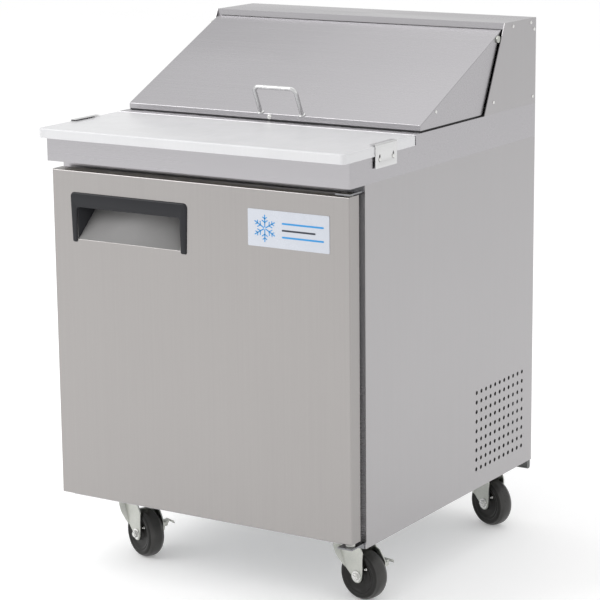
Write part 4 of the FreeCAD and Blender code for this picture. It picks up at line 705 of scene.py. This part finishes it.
def build_door_inside():
    """Dished plastic liner with rounded corners, and a bellows seal mitred round it."""
    low, high = extent("door_liner")
    x, z = (low.x, high.x), (low.z, high.z)
    flat, crown = high.y - 8.2, high.y
    rows = [(0, flat - 1.4, 5), (0, flat - 0.3, 5), (0.6, flat, 5), (31, flat, 10), (33, flat + 0.6, 12),
            (36, flat + 5.2, 16), (38, flat + 7.4, 18), (41, crown, 20), (58, crown, 20),
            (61, crown - 0.1, 20), (63, crown - 0.6, 20), (65, crown - 0.8, 22)]
    loops = []
    for inset, y, radius in rows:
        outline = rounded_frame((x[0] + inset, x[1] - inset), (z[0] + inset, z[1] - inset), radius)
        loops.append([(u, y, v) for u, v in outline])
    add("door_liner_dish", loft(loops, cap_end=True), "door", "liner_plastic", replaces=["door_liner"],
        sharp=60)

    low, high = extent("door_gasket")
    x, z = (low.x, high.x), (low.z, high.z)
    base, tip = low.y, high.y
    half = [(0.4, base), (0, base + 2), (1.6, base + 4), (0.4, base + 6.4), (0, base + 9), (1.4, tip - 0.5),
            (3.2, tip)]
    section = half + [(14 - inset, y) for inset, y in reversed(half)]
    loops = []
    for inset, y in section:
        outline = rounded_frame((x[0] + inset, x[1] - inset), (z[0] + inset, z[1] - inset), 3, 3)
        loops.append([(u, y, v) for u, v in outline])
    add("door_seal", loft(loops, ring=True), "door", "gasket_rubber", replaces=["door_gasket"], sharp=40)


# ------------------------------------------------------------------ worktop, lid and hood

def pan_head(radius, rise, recess=True):
    """A domed screw head on z 0 with a cross recess."""
    dome = [(radius, 0), (radius, rise * 0.3), (radius * 0.94, rise * 0.62), (radius * 0.78, rise * 0.88),
            (radius * 0.62, rise * 0.97)]
    head = lathe([(0, 0)] + dome + [(0, rise * 0.55 if recess else rise)], 28)
    if recess:
        arm, half = radius * 0.48, radius * 0.13
        cross = [(half, half), (half, arm), (-half, arm), (-half, half), (-arm, half), (-arm, -half),
                 (-half, -half), (-half, -arm), (half, -arm), (half, -half), (arm, -half), (arm, half)]
        rim = plate([circle(radius * 0.66, 28), cross], rise * 0.42, 0.08)
        head = joined(head, moved(rim, shift(0, 0, rise * 0.56)))
    return head


SCREW_RADIUS, SCREW_RISE = 3.6, 1.8
CLIP_SCREW_Y = (99.5, 149.5)
CLIP_SCREW_Z = 881.7


def screw_at(x, y, z, facing):
    """A cross-recess head at a spot, turned to face outwards."""
    return moved(pan_head(SCREW_RADIUS, SCREW_RISE), shift(x, y, z) @ facing)


def build_screws():
    """Cross-recess heads at every screw of the cabinet and the lid."""
    rail_x, rail_z = (-235, -215, -8, 13, 217, 229, 242, 266), 833
    frame_low, _ = extent("front_frame")
    _, clip_high = extent("board_clips")
    _, deck_high = extent("worktop_deck")
    heads = [screw_at(x, frame_low.y, rail_z, turned(90, "X")) for x in rail_x]
    hood_spots = ((643, 1077), (723, 1077.5), (738, 1063), (734.6, 924), (560, 932))
    for side in (-1, 1):
        outwards = turned(90 * side, "Y")
        spots = [(clip_high.x, y, CLIP_SCREW_Z) for y in CLIP_SCREW_Y]
        spots += [(deck_high.x, y, z) for y, z in hood_spots]
        heads += [screw_at(side * x, y, z, outwards) for x, y, z in spots]
    add("screw_heads", joined(*heads), "cabinet", "screw_steel", replaces=["cabinet_screws"])
    low, high = extent("lid_screws")
    lid_low, _ = extent("lid_skin")
    front_z, side_y, side_z = low.z + SCREW_RADIUS, 330, high.z - SCREW_RADIUS
    front = screw_at(0, lid_low.y, front_z, turned(90, "X"))
    washer = moved(lathe([(0, 0), (5.4, 0), (5.4, 0.5), (5, 0.8), (0, 0.8)], 32),
                   shift(0, lid_low.y, front_z) @ turned(90, "X"))
    sides = [screw_at(side * -lid_low.x, side_y, side_z, turned(90 * side, "Y")) for side in (-1, 1)]
    add("lid_screw_heads", joined(front, washer, *sides), "lid", "screw_steel", replaces=["lid_screws"])


def build_clips():
    """Folded plates with a lip over the board, each on two keyhole slots."""
    low, high = extent("board_clips")
    sheet, curl = 1.5, 2.4
    hole, hole_z, slot, slot_top = 4.2, 881.6, 2.1, 891
    outer, top, foot = high.x, high.z, low.z
    for side, word in ((-1, "left"), (1, "right")):
        holes = []
        for y in CLIP_SCREW_Y:
            head = [(y + hole * math.cos(angle), hole_z + hole * math.sin(angle))
                    for angle in (math.radians(a) for a in range(-228, 49, 12))]
            holes.append([(y + slot, slot_top), (y - slot, slot_top), *head])
        wall = plate([rounded([(low.y, foot), (high.y, foot), (high.y, top - 3), (low.y, top - 3)], 0.8, 2)]
                     + holes, sheet, 0.25)
        bend = [(outer - sheet / 2, top - 3.2)]
        bend += [(outer - sheet / 2 - curl * (1 - math.cos(math.radians(a))),
                  top - 3.15 + curl * math.sin(math.radians(a))) for a in range(0, 91, 15)]
        bend += [(outer - 9, top - 0.75), (outer - 13.2, top - 0.9)]
        lip = loft([[(u, y, v) for u, v in bend] for y in (low.y, high.y)], closed=False)
        bmesh.ops.solidify(lip, geom=list(lip.faces), thickness=sheet / 2)
        wall_up = copied(wall, shift(outer - sheet, 0, 0) @ FACING_SIDE)
        wall.free()
        whole = joined(wall_up, lip)
        if side < 0:
            moved(whole, Matrix.Diagonal((-1, 1, 1, 1)))
        add("board_clip_" + word, whole, "cabinet", "bright_steel",
            replaces=["board_clips"] if side > 0 else ())


def build_lid_handle():
    """Bent round bar, square to the lid's slope, with a collar where each leg meets the lid."""
    low, high = extent("lid_handle")
    half, rod, reach, lean = 48.5, 4.25, 58, 24.5
    middle = (low.x + high.x) / 2
    foot = (middle, 272, 925)
    path = rounded([(-half, 0, 0), (-half, 0, reach), (half, 0, reach), (half, 0, 0)], 12, 8, closed=False)
    bar = tube(path, rod)
    collar = lathe([(rod - 0.2, 0), (rod + 3, 0), (rod + 3, 0.8), (rod + 2.2, 1.5), (rod - 0.2, 1.7)], 32)
    collars = [copied(collar, shift(side * half, 0, -1.2)) for side in (-1, 1)]
    collar.free()
    place = shift(*foot) @ turned(lean, "X")
    add("lid_grip", moved(joined(bar, *collars), place), "lid", "bright_steel", replaces=["lid_handle"],
        sharp=50)


def build_pans():
    """Pressed pans with rolled rims, rounded corners and stacking steps."""
    low, high = extent("food_pans")
    wide, long_, pitch, row_pitch = 161, 175, 162, 176
    middle = (low.y + high.y) / 2
    rim = high.z
    profile = [(0, 0, -2.6, 6), (0, 0, -1.2, 6), (0.7, 0.7, -0.2, 6), (1.8, 1.8, 0, 6), (12, 10, 0, 10),
               (13.6, 11.6, -0.5, 11), (14.4, 12.4, -2, 12), (15, 13, -6, 13), (15.6, 13.6, -16, 14),
               (17.4, 15.4, -18, 14), (20.6, 18.6, -88, 15), (22.2, 20.2, -94, 16), (25.4, 23.4, -98, 17),
               (31, 29, -99.4, 18)]
    pans = []
    for row in (-0.5, 0.5):
        for column in (-1.5, -0.5, 0.5, 1.5):
            loops = []
            for in_x, in_y, drop, radius in profile:
                half_x, half_y = wide / 2 - in_x, long_ / 2 - in_y
                outline = rounded_frame((-half_x, half_x), (-half_y, half_y), radius)
                loops.append([(u, v, rim - 0.4 + drop) for u, v in outline])
            pans.append(moved(loft(loops, cap_end=True), shift(column * pitch, middle + row * row_pitch, 0)))
    add("pressed_pans", joined(*pans), "cabinet", "pan_steel", replaces=["food_pans"], sharp=50, thick=0.8)


# ------------------------------------------------------------------ cooling machinery

def fan(radius, hub, depth, blades, sweep):
    """Hub and swept, twisted blades about z, from z 0 to depth."""
    bore = 3.1
    parts = [lathe([(bore, 0), (hub - 2, 0), (hub, 2), (hub, depth - 3), (hub - 3, depth), (bore, depth),
                    (bore, 0)], 40)]
    for k in range(blades):
        rows = []
        for step in range(9):
            share = step / 8
            reach = hub - 1 + (radius - hub + 1) * share
            turn = math.tau * k / blades + math.radians(sweep) * share ** 1.5
            span = math.radians(34 + 16 * share)
            pitch = depth * (0.42 - 0.12 * share)
            row = []
            for j in range(9):
                angle = turn + span * (j / 8 - 0.5)
                height = depth / 2 + pitch * (j / 4 - 1) + 1.6 * math.sin(math.pi * j / 8)
                row.append((reach * math.cos(angle), reach * math.sin(angle), height))
            rows.append(row)
        sheet = loft(rows, closed=False)
        bmesh.ops.solidify(sheet, geom=list(sheet.faces), thickness=1.2)
        parts.append(sheet)
    return joined(*parts)


def fin_stack(first, last, across, up, pitch):
    """Thin fins stacked along x, each spanning the given depth and height."""
    count = int((last - first) / pitch)
    stack = bmesh.new()
    for k in range(count + 1):
        x = first + k * pitch
        corners = [(x, y, z) for y, z in ((across[0], up[0]), (across[1], up[0]), (across[1], up[1]),
                                          (across[0], up[1]))]
        back = [(corner[0] + 0.35, corner[1], corner[2]) for corner in corners]
        front_row, back_row = ([stack.verts.new(c) for c in row] for row in (corners, back))
        bridge(stack, front_row, back_row)
        stack.faces.new(front_row[::-1])
        stack.faces.new(back_row)
    bmesh.ops.recalc_face_normals(stack, faces=stack.faces)
    return stack


def hairpins(x_near, x_far, y, heights, radius):
    """Tubes along x that turn back on themselves in pairs at the far end."""
    tubes = []
    for low, high in zip(heights, heights[1:]):
        bend = rounded([(x_near, y, low), (x_far + 12, y, low), (x_far + 12, y, high), (x_near, y, high)],
                       (high - low) / 2 - 0.01, 8, closed=False)
        tubes.append(tube(bend, radius))
    return joined(*tubes)


def build_coils():
    low, high = extent("evaporator_coil")
    fins = fin_stack(low.x + 2, high.x - 14, (low.y + 1, high.y - 1), (low.z + 1, high.z - 1), 4)
    rows = [low.z + 16 + 30 * k for k in range(6)]
    pins = hairpins(low.x + 2, high.x - 18, (low.y + high.y) / 2, rows, 4.2)
    add("evaporator_fins", fins, "cabinet", "fin_aluminium", replaces=["evaporator_coil"])
    add("evaporator_tubes", pins, "cabinet", "copper")
    low, high = extent("condenser_coil")
    fins = fin_stack(low.y + 3, high.y - 3, (low.x + 4, high.x - 4), (low.z + 8, high.z - 4), 3.2)
    turn = Matrix(((0, 1, 0, 0), (1, 0, 0, 0), (0, 0, 1, 0), (0, 0, 0, 1)))
    add("condenser_fins", moved(fins, turn), "cabinet", "fin_aluminium", replaces=["condenser_coil"])
    rows = [low.z + 22 + 26 * k for k in range(7)]
    pins = hairpins(low.y + 3, high.y - 16, (low.x + high.x) / 2, rows, 4.2)
    add("condenser_tubes", moved(pins, turn), "cabinet", "copper")
    ends = [block((low.x, high.x), (y, y + 1.6), (low.z, high.z), 0.3) for y in (low.y, high.y - 1.6)]
    add("condenser_ends", joined(*ends), "cabinet", "galvanised_steel")


def build_fans():
    low, high = extent("evaporator_fan")
    spot = joint_spot("evaporator_fan_spin")
    radius = (high.z - low.z) / 2 - 0.5
    wheel = moved(fan(radius, 16, high.y - low.y, 4, 26), shift(spot.x, low.y, spot.z) @ turned(-90, "X"))
    add("evaporator_fan_wheel", wheel, "evaporator_fan", "fan_aluminium", replaces=["evaporator_fan"])
    face, _ = extent("evaporator_cover")
    rings = []
    for ring in (16, 30, 44, 58, 72):
        loop = [(x, y, -3 - 5 * (1 - ring / 76)) for x, y in circle(ring, 64)]
        rings.append(tube(loop, 1.1, closed=True))
    for k in range(4):
        turn = turned(45 + 90 * k, "Z")
        rings.append(moved(tube([(14, 0, -8), (60, 0, -5.5), (76, 0, -2.4), (79, 0, -0.6)], 1.3), turn))
    guard = moved(joined(*rings), shift(spot.x, face.y, spot.z) @ turned(-90, "X"))
    add("evaporator_fan_guard", guard, "cabinet", "screw_steel", sharp=50)
    low, high = extent("condenser_fan")
    spot = joint_spot("condenser_fan_spin")
    radius = (high.z - low.z) / 2 - 0.5
    wheel = moved(fan(radius, 16, high.x - low.x, 5, 30), shift(low.x, spot.y, spot.z) @ turned(90, "Y"))
    add("condenser_fan_wheel", wheel, "condenser_fan", "fan_plastic", replaces=["condenser_fan"])


def build_compressor():
    """Drawn steel shell with its weld seam, feet on rubber grommets and a clipped terminal cover."""
    low, high = extent("compressor")
    middle = shift((low.x + high.x) / 2, (low.y + high.y + 22) / 2, low.z)
    shell = lathe([(0, 13), (52, 13), (58, 14.5), (63, 19), (66, 27), (67, 60), (67, 78), (67.9, 79),
                   (68, 83), (67, 84.5), (66.6, 104), (65.6, 122), (61, 137), (52, 147), (38, 154),
                   (18, 158.5), (0, 160)], 72)
    base = plate([rounded_frame((-85, 85), (-60, 60), 18)], 3, 0.5)
    moved(base, shift(0, 0, 10))
    cover = block((-25, 25), (-90, -60), (60, 110), 5)
    add("compressor_shell", moved(joined(shell, base, cover), middle), "cabinet", "compressor_paint",
        replaces=["compressor"], sharp=40)
    grommet = lathe([(0, 0), (10, 0), (11, 1), (11, 4), (8.6, 5.2), (8.6, 6.8), (11, 8), (11, 9.4), (9, 10),
                     (0, 10)], 28)
    grommets = [copied(grommet, middle @ shift(x, y, 0)) for x in (-72, 72) for y in (-48, 48)]
    grommet.free()
    add("compressor_grommets", joined(*grommets), "cabinet", "compressor_paint", material=STOP_RUBBER)


def build_knob():
    """Fluted dial with a raised pointer."""
    low, high = extent("thermostat_knob")
    spot = joint_spot("thermostat_turn")
    depth = high.y - low.y
    ridges, grooves = circle(16, 60), circle(15.45, 60)
    skirt = plate([[grooves[k] if k % 2 else ridges[k] for k in range(60)]], depth - 6, 0.8)
    grip = moved(plate([rounded_frame((-3.2, 3.2), (-14, 14), 3)], 6.4, 1), shift(0, 0, depth - 6.4))
    dial = moved(joined(skirt, grip), shift(spot.x, high.y, spot.z) @ FACING_FRONT)
    add("thermostat_dial", dial, "thermostat_knob", "control_plastic", replaces=["thermostat_knob"], sharp=40)


# ------------------------------------------------------------------ studio

CAMERA_SPOT = (2490.95, -3561.21, 1563.17)
CAMERA_YAW = 32.315
CAMERA_PITCH = -12.594
CAMERA_ROLL = -0.60
CAMERA_LENS = 138.97


def build_camera():
    camera = bpy.data.objects.new("camera", bpy.data.cameras.new("camera"))
    camera.data.sensor_width = 36
    camera.data.lens = CAMERA_LENS
    camera.data.clip_end = 200
    heading = turned(CAMERA_YAW, "Z") @ turned(90 + CAMERA_PITCH, "X") @ turned(CAMERA_ROLL, "Z")
    camera.matrix_world = Matrix.Translation(DATUM_PLACE @ Vector(CAMERA_SPOT)) @ heading
    bpy.context.scene.collection.objects.link(camera)
    bpy.context.scene.camera = camera


def softbox(name, place, aim, size, power):
    light = bpy.data.lights.new(name, "AREA")
    light.shape = "RECTANGLE"
    light.size, light.size_y = size
    light.energy = power
    item = bpy.data.objects.new(name, light)
    item.location = place
    item.rotation_euler = (Vector(aim) - Vector(place)).to_track_quat("-Z", "Y").to_euler()
    bpy.context.scene.collection.objects.link(item)


def build_studio():
    floor = loft([[(-30, -30, 0), (30, -30, 0)], [(-30, 30, 0), (30, 30, 0)]], closed=False)
    mesh = bpy.data.meshes.new("studio_floor")
    floor.to_mesh(mesh)
    floor.free()
    mesh.materials.append(make_floor())
    ground = bpy.data.objects.new("studio_floor", mesh)
    bpy.context.scene.collection.objects.link(ground)
    world = bpy.data.worlds.new("studio")
    bpy.context.scene.world = world
    world.use_nodes = True
    backdrop = world.node_tree.nodes["Background"]
    backdrop.inputs["Color"].default_value = (1, 1, 1, 1)
    backdrop.inputs["Strength"].default_value = 0.85
    softbox("key", (-3.2, -3.4, 3.6), (0, 0, 0.5), (2.6, 2.6), 100)
    softbox("fill", (4.2, -1.0, 2.6), (0, 0, 0.6), (2.0, 2.4), 10)
    softbox("top", (-0.9, 0.6, 4.4), (-0.4, 0, 0), (6, 4), 37)
    bpy.context.scene.view_settings.view_transform = "Standard"


# Own materials for two CAD nodes, both darkened with painted shade: the hinge brackets under the door and the
# condensate tray at the rear.
NODE_FINISH_AND_PAINTED_SHADE = {"door_hinge_brackets": CHROME_WITH_PAINTED_SHADE, "condensate_tray": ZINC_WITH_PAINTED_SHADE}


def paint_cad_nodes():
    for node, item in frame["nodes"].items():
        item.data.materials.clear()
        item.data.materials.append(NODE_FINISH_AND_PAINTED_SHADE.get(node) or MATERIALS[NODE_SLOT[node]])


paint_cad_nodes()
for caster in CASTERS:
    build_fork(caster)
    build_wheel(caster)
    if "brake_" + caster in JOINTS:
        build_pedal(caster)
build_caster_bolts()
build_handle()
build_badge()
build_door_inside()
build_screws()
build_clips()
build_lid_handle()
build_pans()
build_coils()
build_fans()
build_compressor()
build_knob()
build_camera()
build_studio()
